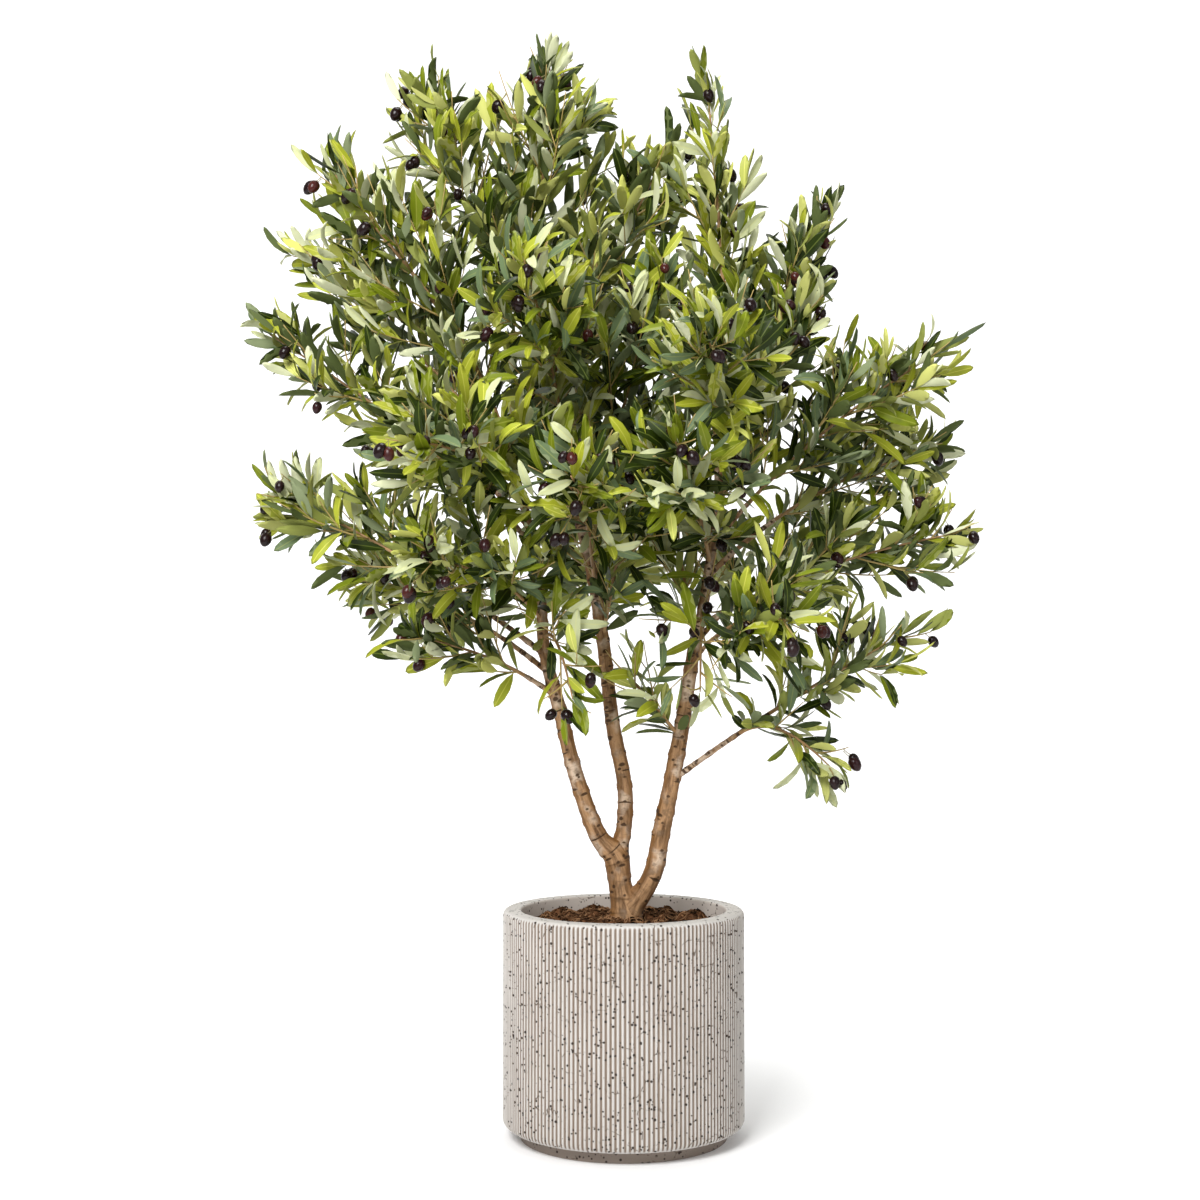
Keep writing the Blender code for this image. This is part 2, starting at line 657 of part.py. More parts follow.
class Space:
    """The room that belongs to one mass: near its own line, and nearer to it than to any other's.

    It also holds a tree of faces for each piece that has grown in it, so that none cross.
    """

    def __init__(self, mass, masses, limb_places, limb_radii):
        self.own = tree_of([mass.leafy_line()])
        self.others = tree_of([other.leafy_line() for other in masses if other is not mass])
        self.reach = mass.width * REACH
        self.limb_places, self.limb_radii = limb_places, limb_radii
        self.grown = []

    def holds(self, points):
        for point in points:
            _, index, near = self.own.find(point)
            if near > self.reach * room_at(index / LINE_SAMPLES):
                return False
            if near + ROOM > self.others.find(point)[2]:
                return False
        away = np.linalg.norm(np.array(points)[:, None] - self.limb_places[None], axis=2)
        return bool((away - self.limb_radii).min() > LIMB_ROOM)

    def fits(self, mesh, matrix, carrier):
        """A piece's own tree of faces, if it keeps to this room and crosses nothing, or None."""
        root = ROOT_CLEAR / matrix.col[0].length
        corners = [Vector((max(vert.co.x, root), *vert.co.yz)) for vert in mesh.vertices]
        corners = [matrix @ corner for corner in corners]
        between = [a.lerp(b, 0.5) for a in corners for b in corners[:2]]
        if not self.holds(corners + between):
            return None
        tree = BVHTree.FromPolygons(corners, [face.vertices for face in mesh.polygons])
        if any(tree.overlap(other) for other in self.grown if other is not carrier):
            return None
        self.grown.append(tree)
        return tree


class Growth:
    """The pieces of one mass, as unit meshes and the matrices that place them."""

    def __init__(self, mass, shapes, space):
        self.rng = random.Random(f"{mass.name} 3")
        self.mass, self.shapes, self.space = mass, shapes, space
        self.stem = mass.stem()
        self.pieces = []

    def add(self, kind, matrix, carrier):
        """Adds a piece if it fits, and tells whether it did by its tree of faces."""
        tree = self.space.fits(self.shapes[kind], matrix, carrier)
        if tree is not None:
            self.pieces.append((self.shapes[kind], matrix))
        return tree

    def leaf(self, place, heading, turn, slant, length, carrier):
        """A leaf, turned further round its twig or made shorter until it fits."""
        outwards = Vector((place.x, place.y, 0.2)).normalized()
        for shorter in LEAF_SHARES:
            size = (length * shorter, LEAF_WIDTH * shorter, LEAF_THICKNESS)
            for more in TRIES:
                direction = slanted(heading, turn + math.radians(more), slant, LEAF_LIFT)
                level = outwards - direction * outwards.dot(direction)
                facing = Quaternion(direction, self.rng.uniform(-LEAF_ROLL, LEAF_ROLL)) @ level
                start = place - direction * LEAF_SUNK
                if self.add("leaf", placed(start, direction, facing, size), carrier):
                    return

    def twig(self, place, heading, turn, length):
        """A side twig with its leaves, turned round the stem or made shorter until it fits."""
        for shorter in TWIG_SHARES:
            for more in TRIES:
                direction = slanted(heading, turn + math.radians(more), TWIG_SLANT, TWIG_LIFT)
                size = (max(SHORTEST_TWIG, length * shorter), TWIG_RADIUS, TWIG_RADIUS)
                matrix = placed(place, direction, across(direction, 0), size)
                tree = self.add("twig", matrix, None)
                if tree:
                    self.dress(place, direction, size[0], tree)
                    return

    def dress(self, place, direction, length, tree):
        """The leaves of a side twig: pairs, each a quarter turn on, and one at the end."""
        turn = self.rng.uniform(0, math.tau)
        for i, share in enumerate(TWIG_PAIRS):
            for side in (0, math.pi):
                around = turn + side + math.pi / 2 * i
                slant = LEAF_SLANT * self.rng.uniform(0.9, 1.2)
                leaf_length = LEAF_LENGTH * self.rng.uniform(0.8, 1)
                spot = place + direction * (length * share + side * LEAF_STAGGER)
                self.leaf(spot, direction, around, slant, leaf_length, tree)
        end = place + direction * (length - END_SUNK)
        self.leaf(end, direction, turn, END_SLANT, LEAF_LENGTH, tree)

    def last_leaf(self):
        """The leaf that ends at the mass's furthest tip."""
        tip = self.mass.line.points[-1]
        place = self.stem.points[-1] - self.stem.at(self.stem.length)[1] * END_SUNK
        direction = (tip - place).normalized()
        size = ((tip - place).length, LEAF_WIDTH, LEAF_THICKNESS)
        matrix = placed(place, direction, across(direction, 1), size)
        self.pieces.append((self.shapes["leaf"], matrix))

    def olive(self):
        """An olive under the middle of the stem."""
        place, heading, radius = self.stem.at(self.stem.length * OLIVE_PLACE)
        aside = across(heading, self.rng.uniform(0, math.tau)) * OLIVE_SWING
        down = (aside - UP).normalized()
        size = (OLIVE_LENGTH, OLIVE_WIDTH, OLIVE_WIDTH)
        centre = place + down * (OLIVE_LENGTH / 2 - radius * 0.5)
        matrix = placed(centre, down, heading, size)
        if self.space.holds([centre + down * OLIVE_LENGTH / 2, centre]):
            self.pieces.append((self.shapes["olive"], matrix))

    def all(self):
        turn = self.rng.uniform(0, math.tau)
        self.last_leaf()
        nodes = max(2, round(self.stem.length * (1 - FIRST_NODE) / NODE_SPACING))
        for i in range(nodes):
            share = FIRST_NODE + (LAST_NODE - FIRST_NODE) * i / (nodes - 1)
            place, heading, _ = self.stem.at(self.stem.length * share)
            turn += GOLDEN_TURN
            reach = self.mass.width * room_at(share) / math.sin(TWIG_SLANT)
            length = reach * self.rng.uniform(0.9, 1.1) - LEAF_LENGTH * LEAF_BEYOND
            self.twig(place, heading, turn, length)
            leaf_length = LEAF_LENGTH * self.rng.uniform(0.85, 1)
            spot = place + heading * math.pi * LEAF_STAGGER
            self.leaf(spot, heading, turn + math.pi, LEAF_SLANT, leaf_length, None)
        if self.mass.name in FRUITING:
            self.olive()
        return self.pieces


def grow(mass, shapes, space, home, tools):
    """One mass of foliage: its stem, side twigs, leaves and an olive, fused into one solid."""
    growth = Growth(mass, shapes, space)
    pieces = []
    for mesh, matrix in growth.all():
        piece = bpy.data.objects.new("piece", mesh)
        tools.objects.link(piece)
        piece.matrix_world = matrix
        pieces.append(piece)
    made = limb(mass.name, growth.stem, TWIG_SIDES, "foliage", home)
    boolean(made, "UNION", pieces)
    return made


def make_crown(stems, home, tools):
    limbs, masses = dict(stems), []
    for row in CROWN:
        mass = Mass(row, limbs)
        masses.append(mass)
        if mass.bare:
            limbs[f"{mass.name}_bough"] = mass.bough()
    for mass in masses:
        if not mass.bare:
            continue
        name = f"{mass.name}_bough"
        bough = limb(name, limbs[name], BOUGH_SIDES, "bark", home)
        grown = limb("grown", mass.parent, STEM_SIDES, "bark", tools, more=LIMB_GAP)
        boolean(bough, "DIFFERENCE", [grown])
    samples = [
        line.at(distance)
        for line in limbs.values()
        for distance in np.arange(0, line.length, LIMB_SAMPLE)
    ]
    limb_places = np.array([place for place, _, _ in samples])
    limb_radii = np.array([radius for _, _, radius in samples])
    shapes = {"leaf": leaf_mesh(), "twig": twig_mesh(), "olive": olive_mesh()}
    for mass in masses:
        space = Space(mass, masses, limb_places, limb_radii)
        made = grow(mass, shapes, space, home, tools)
        if not mass.bare and not mass.from_tip:
            sides = BOUGH_SIDES if mass.parent_name.endswith("_bough") else STEM_SIDES
            grown = limb("grown", mass.parent, sides, "bark", tools, more=LIMB_GAP)
            boolean(made, "DIFFERENCE", [grown])


def main():
    for item in list(bpy.data.objects):
        bpy.data.objects.remove(item)
    home, tools = collection("potted_olive_tree"), collection("tools")
    stems = make_trunk(home, tools)
    make_crown(stems, home, tools)
    make_pot(home, tools)
    make_soil(home)


main()
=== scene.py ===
"""The looks of a young olive tree in a ribbed stoneware planter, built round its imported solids.

The crown grows on from the solids' own lines: each mass of foliage is grown again by the same
rule, carried to finer twigs and leaves of real size. Bark with relief replaces the trunk, stems
and boughs, and a finely ribbed wall replaces the planter's plain one. Metres, +Z up.
"""

import json
import math

import bpy
import numpy as np
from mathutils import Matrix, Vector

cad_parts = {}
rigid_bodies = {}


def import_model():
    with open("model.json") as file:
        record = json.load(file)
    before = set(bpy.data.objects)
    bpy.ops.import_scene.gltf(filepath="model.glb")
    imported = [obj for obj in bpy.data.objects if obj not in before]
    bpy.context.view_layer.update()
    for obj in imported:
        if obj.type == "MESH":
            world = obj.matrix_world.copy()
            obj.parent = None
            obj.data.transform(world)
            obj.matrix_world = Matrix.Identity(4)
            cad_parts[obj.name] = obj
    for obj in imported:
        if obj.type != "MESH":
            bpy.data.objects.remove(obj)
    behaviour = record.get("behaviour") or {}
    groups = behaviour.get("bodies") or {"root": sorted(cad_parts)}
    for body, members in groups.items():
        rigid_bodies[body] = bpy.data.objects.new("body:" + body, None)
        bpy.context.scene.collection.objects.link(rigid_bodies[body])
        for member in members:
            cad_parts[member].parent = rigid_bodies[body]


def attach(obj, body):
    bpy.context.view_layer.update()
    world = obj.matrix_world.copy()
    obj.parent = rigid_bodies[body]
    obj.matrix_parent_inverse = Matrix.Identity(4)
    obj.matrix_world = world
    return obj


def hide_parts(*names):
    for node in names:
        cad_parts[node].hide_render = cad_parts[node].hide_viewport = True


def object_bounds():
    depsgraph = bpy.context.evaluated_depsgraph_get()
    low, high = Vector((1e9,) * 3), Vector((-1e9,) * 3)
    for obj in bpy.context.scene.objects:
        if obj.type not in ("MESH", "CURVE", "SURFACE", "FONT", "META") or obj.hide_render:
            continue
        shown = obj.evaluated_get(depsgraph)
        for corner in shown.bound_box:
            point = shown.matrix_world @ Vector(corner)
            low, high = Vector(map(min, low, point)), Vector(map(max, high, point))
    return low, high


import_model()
cad_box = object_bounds()

UP = np.array((0.0, 0.0, 1.0))
GOLDEN_TURN = math.radians(137.5)
TURN = math.tau

# ---- sizes

# Planter and soil, as in the solids
POT_RADIUS = 0.190
POT_HEIGHT = 0.355
FOOT_RADIUS = 0.163
FOOT_HEIGHT = 0.0195
FOOT_CHAMFER = 0.0012
FOOT_ROUND = 0.0015
LOWER_ROUND = 0.012
RIM_WIDTH = 0.029
RIM_OUTER_ROUND = 0.009
RIM_INNER_ROUND = 0.004
FLOOR_THICKNESS = 0.030
WALL_DRAFT = 0.005
RIBS = 166
RIB_COLUMNS = 7
RIB_DEPTH = 0.0020
RIB_SHARPNESS = 0.8
RIB_WOBBLE = 0.10
RIB_CHIP = 0.02
RIB_INSET = 0.0012  # between a rib's ends and the rim or the foot
RIB_TOP_FADE = 0.0055  # the length over which a rib rises to its depth
RIB_FOOT_FADE = 0.004
WOBBLES = 14  # waves in the ribs' unevenness
WOBBLE_RANGE = 5
# A point's rise, which sets its colour: 0 in a valley, 1 on a ridge, and these off the ribs. The valleys'
# darker colour is painted shade in the grooves.
PLAIN_RISE = 0.85
FOOT_RISE = 0.35
INSIDE_RISE = 1.2
SOIL_HEIGHT = 0.338
SOIL_DIP = 0.006
SOIL_GAP = 0.0004  # between the soil's edge and the planter
SOIL_SIDE = 0.018  # how far the soil's side goes down, and the planter's inner wall a little more
CRUMB_HEIGHT = 0.0015
CRUMB_RATES = (90, 2200)  # the longest and the shortest wave of the crumbs, in radians a metre
CRUMB_WAVES = 60
COLLAR_HEIGHT = 0.0030  # the soil is a little higher round the trunk
COLLAR_REACH = 0.045

# Trunk and stems: x, y and z on the centre line, and the radius there
TRUNK_FOOT = SOIL_HEIGHT + 0.0003
TRUNK = (
    (0.0020, 0.000, TRUNK_FOOT, 0.0270),
    (0.0015, 0.000, TRUNK_FOOT + 0.008, 0.0225),
    (-0.0010, 0.000, 0.362, 0.0190),
    (-0.0055, 0.000, 0.392, 0.0180),
    (-0.0126, 0.000, 0.434, 0.0175),
)
LEFT_STEM = (
    (-0.0427, -0.004, 0.475, 0.0142),
    (-0.0767, -0.010, 0.571, 0.0120),
    (-0.1005, -0.016, 0.668, 0.0109),
    (-0.1244, -0.022, 0.761, 0.0096),
    (-0.1308, -0.026, 0.842, 0.0084),
    (-0.1517, -0.032, 0.970, 0.0068),
    (-0.1885, -0.040, 1.097, 0.0052),
)
CENTRE_STEM = (
    (-0.0095, 0.005, 0.420, 0.0130),
    (0.0022, 0.012, 0.494, 0.0122),
    (0.0009, 0.018, 0.557, 0.0117),
    (-0.0165, 0.025, 0.644, 0.0112),
    (-0.0324, 0.034, 0.779, 0.0105),
    (-0.0498, 0.042, 0.887, 0.0096),
    (-0.0753, 0.050, 1.001, 0.0082),
    (-0.1009, 0.058, 1.145, 0.0066),
    (-0.1201, 0.066, 1.273, 0.0052),
)
RIGHT_STEM = (
    (0.0060, -0.003, TRUNK_FOOT + 0.006, 0.0165),
    (0.0444, -0.010, 0.407, 0.0150),
    (0.0594, -0.013, 0.475, 0.0140),
    (0.0880, -0.018, 0.620, 0.0124),
    (0.1105, -0.018, 0.761, 0.0098),
    (0.1274, -0.014, 0.839, 0.0082),
    (0.1500, -0.004, 1.001, 0.0066),
    (0.1600, 0.010, 1.161, 0.0052),
)

# Masses of foliage. Each row: name, the limb it springs from, the height at which it leaves that
# limb (None: from the limb's tip), its furthest tip, its half width, the share of its line that
# is a bare bough, and how much it arches over.
CROWN = (
    ("left_skirt", "left_stem", 0.690, (-0.350, -0.12, 0.790), 0.115, 0.22, 0.30),
    ("left_low", "left_stem", 0.755, (-0.606, 0.02, 1.043), 0.120, 0.30, 0.15),
    ("left_low_back", "left_stem", 0.725, (-0.470, 0.30, 0.890), 0.140, 0.32, 0.25),
    ("left_low_front", "left_stem", 0.810, (-0.300, -0.34, 0.885), 0.145, 0.00, 0.40),
    ("left_mid", "left_stem", 0.930, (-0.591, -0.05, 1.280), 0.105, 0.24, 0.20),
    ("left_mid_front", "left_stem", 0.980, (-0.310, -0.42, 1.045), 0.150, 0.00, 0.40),
    ("left_mid_back", "left_stem", 0.955, (-0.430, 0.42, 1.160), 0.150, 0.28, 0.25),
    ("left_high", "left_stem", 1.060, (-0.550, 0.08, 1.437), 0.100, 0.20, 0.20),
    ("left_crest", "left_stem", None, (-0.473, -0.08, 1.537), 0.150, 0.00, 0.00),
    ("back_low", "centre_stem", 0.800, (-0.040, 0.48, 0.930), 0.145, 0.30, 0.40),
    ("back_mid", "centre_stem", 0.990, (-0.130, 0.50, 1.240), 0.145, 0.26, 0.30),
    ("front_mid", "centre_stem", 0.860, (-0.080, -0.44, 1.000), 0.145, 0.00, 0.45),
    ("front_high", "centre_stem", 1.070, (-0.150, -0.36, 1.330), 0.140, 0.00, 0.30),
    ("back_high", "centre_stem", 1.150, (-0.030, 0.38, 1.480), 0.140, 0.00, 0.25),
    ("crest_left", "centre_stem", 1.210, (-0.345, 0.05, 1.706), 0.150, 0.12, 0.10),
    ("crest_mid", "centre_stem", None, (-0.119, 0.02, 1.766), 0.135, 0.00, 0.00),
    ("crest_right", "centre_stem", 1.190, (0.085, 0.04, 1.600), 0.140, 0.00, 0.10),
    ("heart", "centre_stem", 0.930, (0.070, -0.10, 1.380), 0.130, 0.00, 0.10),
    ("heart_low", "centre_stem", 0.780, (0.030, -0.20, 1.060), 0.125, 0.00, 0.30),
    ("right_crest", "right_stem", None, (0.135, 0.00, 1.693), 0.090, 0.00, 0.00),
    ("right_upper", "right_stem", 1.080, (0.336, 0.05, 1.499), 0.105, 0.20, 0.10),
    ("right_upper_front", "right_stem", 1.000, (0.110, -0.41, 1.230), 0.140, 0.22, 0.35),
    ("right_upper_back", "right_stem", 1.030, (0.220, 0.41, 1.340), 0.145, 0.24, 0.30),
    ("right_high", "right_stem", 0.980, (0.296, -0.06, 1.350), 0.110, 0.00, 0.10),
    ("right_mid", "right_stem", 0.930, (0.512, -0.08, 1.239), 0.135, 0.20, 0.30),
    ("right_mid_low", "right_stem", 0.880, (0.572, 0.12, 1.110), 0.130, 0.28, 0.40),
    ("right_low_far", "right_stem", 0.800, (0.565, -0.04, 0.954), 0.135, 0.20, 0.25),
    ("right_mid_front", "right_stem", 0.900, (0.060, -0.40, 1.060), 0.140, 0.00, 0.30),
    ("between", "right_stem", 0.780, (0.030, 0.05, 1.180), 0.130, 0.00, 0.20),
    ("right_low_front", "right_stem", 0.740, (0.240, -0.36, 0.800), 0.140, 0.14, 0.45),
    ("right_low_back", "right_stem", 0.770, (0.370, 0.38, 0.920), 0.145, 0.24, 0.35),
    ("right_skirt", "right_stem", 0.557, (0.465, -0.08, 0.805), 0.105, 0.40, 0.10),
    ("low_right_spray", "right_skirt_bough", 0.632, (0.336, -0.15, 0.556), 0.080, 0.00, 0.90),
    ("inner_sprig", "right_stem", 0.625, (-0.030, -0.10, 0.760), 0.085, 0.00, 0.10),
    ("left_inner", "left_stem", 0.780, (-0.070, -0.20, 0.655), 0.105, 0.00, 0.90),
    ("right_inner", "right_stem", 0.825, (0.110, -0.20, 0.665), 0.120, 0.00, 0.70),
)
KNOT_STEPS = 8  # steps between two knots of a stem
ARCH_STEPS = 24
ROOT_HANDLE = 0.38
TIP_HANDLE = 0.34
TIP_DROOP = 0.6
BOUGH_ROOT_RADIUS = 0.0046
BOUGH_TIP_RADIUS = 0.0032
BOUGH_POINTS = 16
SPINDLE = (0.20, 0.74)

# How a mass grows: the source's rule, with closer nodes and leaves of real size
LINE_SAMPLES = 40
REACH = 1.12  # how far from its mass's line a twig may end, in half widths of the mass
LEAST_ROOM = 0.040  # that reach where the mass is thin
LEAF_BEYOND = 0.018  # how much further a leaf may reach than a twig
SHARED_ROOM = 0.034  # how far a mass may grow into its neighbour's room
LIMB_ROOM = 0.003
LIMB_STEP = 0.006  # between the places on a limb that twigs and leaves keep off
BOX_INSET = 0.004  # between a leaf's end and the box that the whole tree fills
SHOWN_FROM = 0.69  # few leaves hide the stems from the front between this height and these
SHOWN_TO = {"left_stem": 0.79, "centre_stem": 0.97, "right_stem": 0.91}
SHOWN_STEP = 0.010
SHOWN_ROOM = 0.024
SHOWN_SHARE = 0.85
TRIES = np.radians((0, 25, -25, 50, -50, 80, -80, 110, -110, 180))
STEM_TIP_RADIUS = 0.0010
NODE_SPACING = 0.034
FIRST_NODE = 0.05
LAST_NODE = 0.97
LEAST_TWIG = 0.035
TWIG_SHARES = (1.0, 0.7, 0.45)  # of a twig's wanted length, tried from the longest
SIDE_TWIGS = ((0.30, 0.075), (0.58, 0.10))  # where on a twig, and the shortest twig that has one
TWIG_SLANT = math.radians(40)
TWIG_LIFT = 0.12
TWIG_RISE = (0.04, 0.20)
TWIG_SWAY = 0.10
TWIG_RADIUS = 0.0018
SIDE_TWIG_RADIUS = 0.0012
TWIG_TIP_RADIUS = 0.0007
TWIG_POINTS = 8
TWIG_INSET = 0.022  # between a twig's end and the box that the whole tree fills
TWIG_REACHES = (0.85, 1.12)  # of the way to the edge of the mass's room
SIDE_TWIG_LENGTHS = (0.6, 0.9)
STEM_POINTS = 24
STEM_THINNING = 0.8
STEM_SHORT = 0.62  # leaf lengths by which a stem stops short of its mass's tip
TWIG_SHORT = 0.7  # the same of a twig and the edge of the room
LEAF_SPACING = 0.0245
LEAF_LENGTH = 0.068
LEAF_WIDTH = 0.0158
LEAF_SLANT = math.radians(42)
LEAF_SLANTS = (0.75, 1.3)  # shares of that slant
LEAF_STRAY = 0.28  # spread of the turn round the twig, in radians
LEAF_SIZES = (0.76, 1.05)
LEAF_LIFT = 0.10
LEAF_ROLL = 0.95  # spread of the angle by which a leaf faces away from the light, in radians
LEAVES_FROM = 0.004
TWIG_DRESS = (0.12, 0.0)  # the bare share of a twig, and how much younger its leaves look
STEM_DRESS = (0.03, 0.10)  # the same of a mass's stem
PAIRS_TO = 0.985  # the share of a twig that carries pairs
PAIR_STRAY = 0.2  # how far a leaf sits from its even place, in spacings
FOOT_SLANT = 1.12  # share of the slant at a twig's foot, and how much less it is at the end
SLANT_FALL = 0.45
PAIR_SIZE = 0.80  # in leaf lengths, and the height of the sine along the twig that adds to it
PAIR_BULGE = 0.45
END_YOUTH = 0.9  # how much younger a pair at a twig's end looks than one at its foot
END_LEAVES = 3
END_FROM = 0.995  # the share of a twig at which the last leaf sits
END_STEP = 0.035
END_SLANT = 0.16  # of the last leaf, in radians, and how much more the next one slants
END_FAN = 0.20
END_SIZES = (0.66, 1.05)
END_LIFT = 0.06

CAMERA_PLACE = (-0.0371, -2.859, 0.7485)
CAMERA_TILT = math.radians(1.876)
CAMERA_LENS = 54.03


# ---- lines


def unit(vectors):
    """Vectors of length 1, in the same directions."""
    return vectors / np.linalg.norm(vectors, axis=-1, keepdims=True)


def square_to(headings, guides):
    """Two directions square to each heading and to each other, the first also square to the axis
    that its guide is least along."""
    least = np.eye(3)[np.argmin(np.abs(guides), axis=-1)]
    side = unit(np.cross(headings, least))
    return side, np.cross(headings, side)


class Line:
    """A line of points with a radius at each, read at any distance along it."""

    def __init__(self, points, radii):
        self.points = np.asarray(points, float)
        self.radii = np.asarray(radii, float)
        steps = np.linalg.norm(np.diff(self.points, axis=0), axis=1)
        self.along = np.concatenate([[0.0], np.cumsum(steps)])
        self.length = self.along[-1]

    def at(self, distances):
        """Places, unit headings and radii at distances along the line."""
        distances = np.clip(distances, 0, self.length)
        places = np.stack([np.interp(distances, self.along, axis) for axis in self.points.T], -1)
        i = np.clip(np.searchsorted(self.along, distances), 1, len(self.along) - 1)
        headings = unit(self.points[i] - self.points[i - 1])
        return places, headings, np.interp(distances, self.along, self.radii)

    def at_height(self, height):
        """Distance along the line at which it first reaches a height."""
        heights = np.maximum.accumulate(self.points[:, 2])
        return float(np.interp(height, heights, self.along))

    def every(self, step):
        """Places, headings and radii at each step along the line."""
        return self.at(np.arange(0, self.length, step))


def smooth_line(knots):
    """A Catmull-Rom line: between knots b and c, half of (2b + (c-a)t + (2a-5b+4c-d)t^2
    + (3b-a-3c+d)t^3), with the radius carried as a fourth coordinate."""
    knots = np.array(knots)
    padded = np.vstack([knots[0] * 2 - knots[1], knots, knots[-1] * 2 - knots[-2]])
    a, b, c, d = (padded[i:len(knots) - 1 + i, None] for i in range(4))
    t = (np.arange(KNOT_STEPS) / KNOT_STEPS)[None, :, None]
    curve = 2 * b + (c - a) * t + (2 * a - 5 * b + 4 * c - d) * t**2 + (3 * b - a - 3 * c + d) * t**3
    points = np.vstack([curve.reshape(-1, 4) / 2, knots[-1]])
    return Line(points[:, :3], points[:, 3])


def arched_line(start, tip, arch, leaving):
    """A cubic Bezier line from a root to a tip, leaving as given, or else steeply, and arching
    over."""
    chord = tip - start
    length = np.linalg.norm(chord)
    forward = chord / length
    out = unit(forward + UP * arch) if leaving is None else leaving
    handle = start + out * length * ROOT_HANDLE
    end_handle = tip - unit(forward - UP * arch * TIP_DROOP) * length * TIP_HANDLE
    t = np.linspace(0, 1, ARCH_STEPS + 1)[:, None]
    s = 1 - t
    points = s**3 * start + 3 * s * s * t * handle + 3 * s * t * t * end_handle + t**3 * tip
    return Line(points, np.zeros(ARCH_STEPS + 1))


def room_at(share):
    """How wide a mass may be at a share of its line, as a share of its full width: a spindle."""
    start, stretch = SPINDLE
    return np.sin(math.pi * (start + stretch * share))


class Mass:
    """One mass of foliage: its line, the bare share that is its bough, and its width."""

    def __init__(self, row, limbs):
        self.name, parent, leaves_at, tip, self.width, self.bare, arch = row
        self.parent = limbs[parent]
        self.from_tip = leaves_at is None
        distance = self.parent.length if self.from_tip else self.parent.at_height(leaves_at)
        place, heading, _ = self.parent.at(distance)
        self.line = arched_line(place, np.array(tip), arch, heading if self.from_tip else None)
        self.split = self.line.length * self.bare
        self.samples = self.leafy(np.linspace(0, 1, LINE_SAMPLES + 1))[0]

    def leafy(self, shares):
        """Places, headings and radii at shares of the leafy part of the line."""
        return self.line.at(self.split + (self.line.length - self.split) * shares)

    def bough(self):
        """The bare part of the line, thinning evenly."""
        places, _, _ = self.line.at(np.linspace(0, self.split, BOUGH_POINTS))
        return Line(places, np.linspace(BOUGH_ROOT_RADIUS, BOUGH_TIP_RADIUS, BOUGH_POINTS))


def grown_lines():
    """The three stems from the soil up, the boughs, and the masses."""
    limbs = {
        "left_stem": smooth_line(TRUNK + LEFT_STEM),
        "centre_stem": smooth_line(CENTRE_STEM),
        "right_stem": smooth_line(RIGHT_STEM),
    }
    masses = []
    for row in CROWN:
        mass = Mass(row, limbs)
        masses.append(mass)
        if mass.bare:
            limbs[f"{mass.name}_bough"] = mass.bough()
    return limbs, masses


# ---- meshes


def mesh_of(name, points, quads, triangles=None):
    """A smooth mesh from arrays of points (n, 3), quads (q, 4) and triangles (t, 3)."""
    quads = quads.reshape(-1, 4)
    triangles = np.zeros((0, 3), np.int32) if triangles is None else triangles.reshape(-1, 3)
    corners = np.concatenate([quads.ravel(), triangles.ravel()]).astype(np.int32)
    starts = np.concatenate([np.arange(len(quads)) * 4, len(quads) * 4 + np.arange(len(triangles)) * 3])
    mesh = bpy.data.meshes.new(name)
    mesh.vertices.add(len(points))
    mesh.vertices.foreach_set("co", np.ascontiguousarray(points, np.float32).ravel())
    mesh.loops.add(len(corners))
    mesh.loops.foreach_set("vertex_index", corners)
    mesh.polygons.add(len(starts))
    mesh.polygons.foreach_set("loop_start", starts.astype(np.int32))
    mesh.polygons.foreach_set("use_smooth", np.ones(len(starts), bool))
    mesh.update(calc_edges=True)
    return mesh


def give_attribute(mesh, name, values):
    """A number, or a vector, for each point of a mesh."""
    flat = values.ndim == 1
    kind, field = ("FLOAT", "value") if flat else ("FLOAT_VECTOR", "vector")
    made = mesh.attributes.new(name, kind, "POINT")
    made.data.foreach_set(field, np.ascontiguousarray(values, np.float32).ravel())


def placed(name, data):
    """An object in the scene, made of a mesh, a light or a camera."""
    made = bpy.data.objects.new(name, data)
    bpy.context.scene.collection.objects.link(made)
    return made


def piece(mesh, finishes, slot, *replaced):
    """A piece of the tree, riding on its body, in place of the nodes it replaces."""
    made = placed(mesh.name, mesh)
    for finish in finishes:
        mesh.materials.append(finish)
    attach(made, "root")
    if replaced:
        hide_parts(*replaced)


def grid_quads(rows, columns, closed):
    """Quads between neighbouring rows and columns of a grid, whose last column may meet its first."""
    i, j = np.meshgrid(np.arange(rows - 1), np.arange(columns - (not closed)), indexing="ij")
    along = (j + 1) % columns
    near, far = i * columns, (i + 1) * columns
    return np.stack([near + j, near + along, far + along, far + j], -1).reshape(-1, 4)


def capped_grid(rows, columns):
    """Faces of a closed surface: a grid whose last column meets its first, then a point that
    closes the first row and one that closes the last. Returns quads and triangles."""
    turn = np.arange(columns)
    onwards = (turn + 1) % columns
    pole, last = rows * columns, (rows - 1) * columns
    first_fan = np.stack([np.full(columns, pole), onwards, turn], -1)
    last_fan = np.stack([np.full(columns, pole + 1), last + turn, last + onwards], -1)
    return grid_quads(rows, columns, True), np.concatenate([first_fan, last_fan])


def capped_mesh(name, rings, poles):
    """A closed mesh of rings of points (rows, columns, 3), with a pole beyond each end, facing
    outwards where the rings run down."""
    quads, triangles = capped_grid(*rings.shape[:2])
    points = np.vstack([rings.reshape(-1, 3), poles])
    return mesh_of(name, points, quads[:, ::-1], triangles[:, ::-1])


def mesh_of_copies(name, points, quads, triangles):
    """A mesh of n surfaces alike: their points (n, m, 3), and the faces of one of them."""
    first = (np.arange(len(points)) * points.shape[1])[:, None, None]
    return mesh_of(name, points.reshape(-1, 3), first + quads, first + triangles)


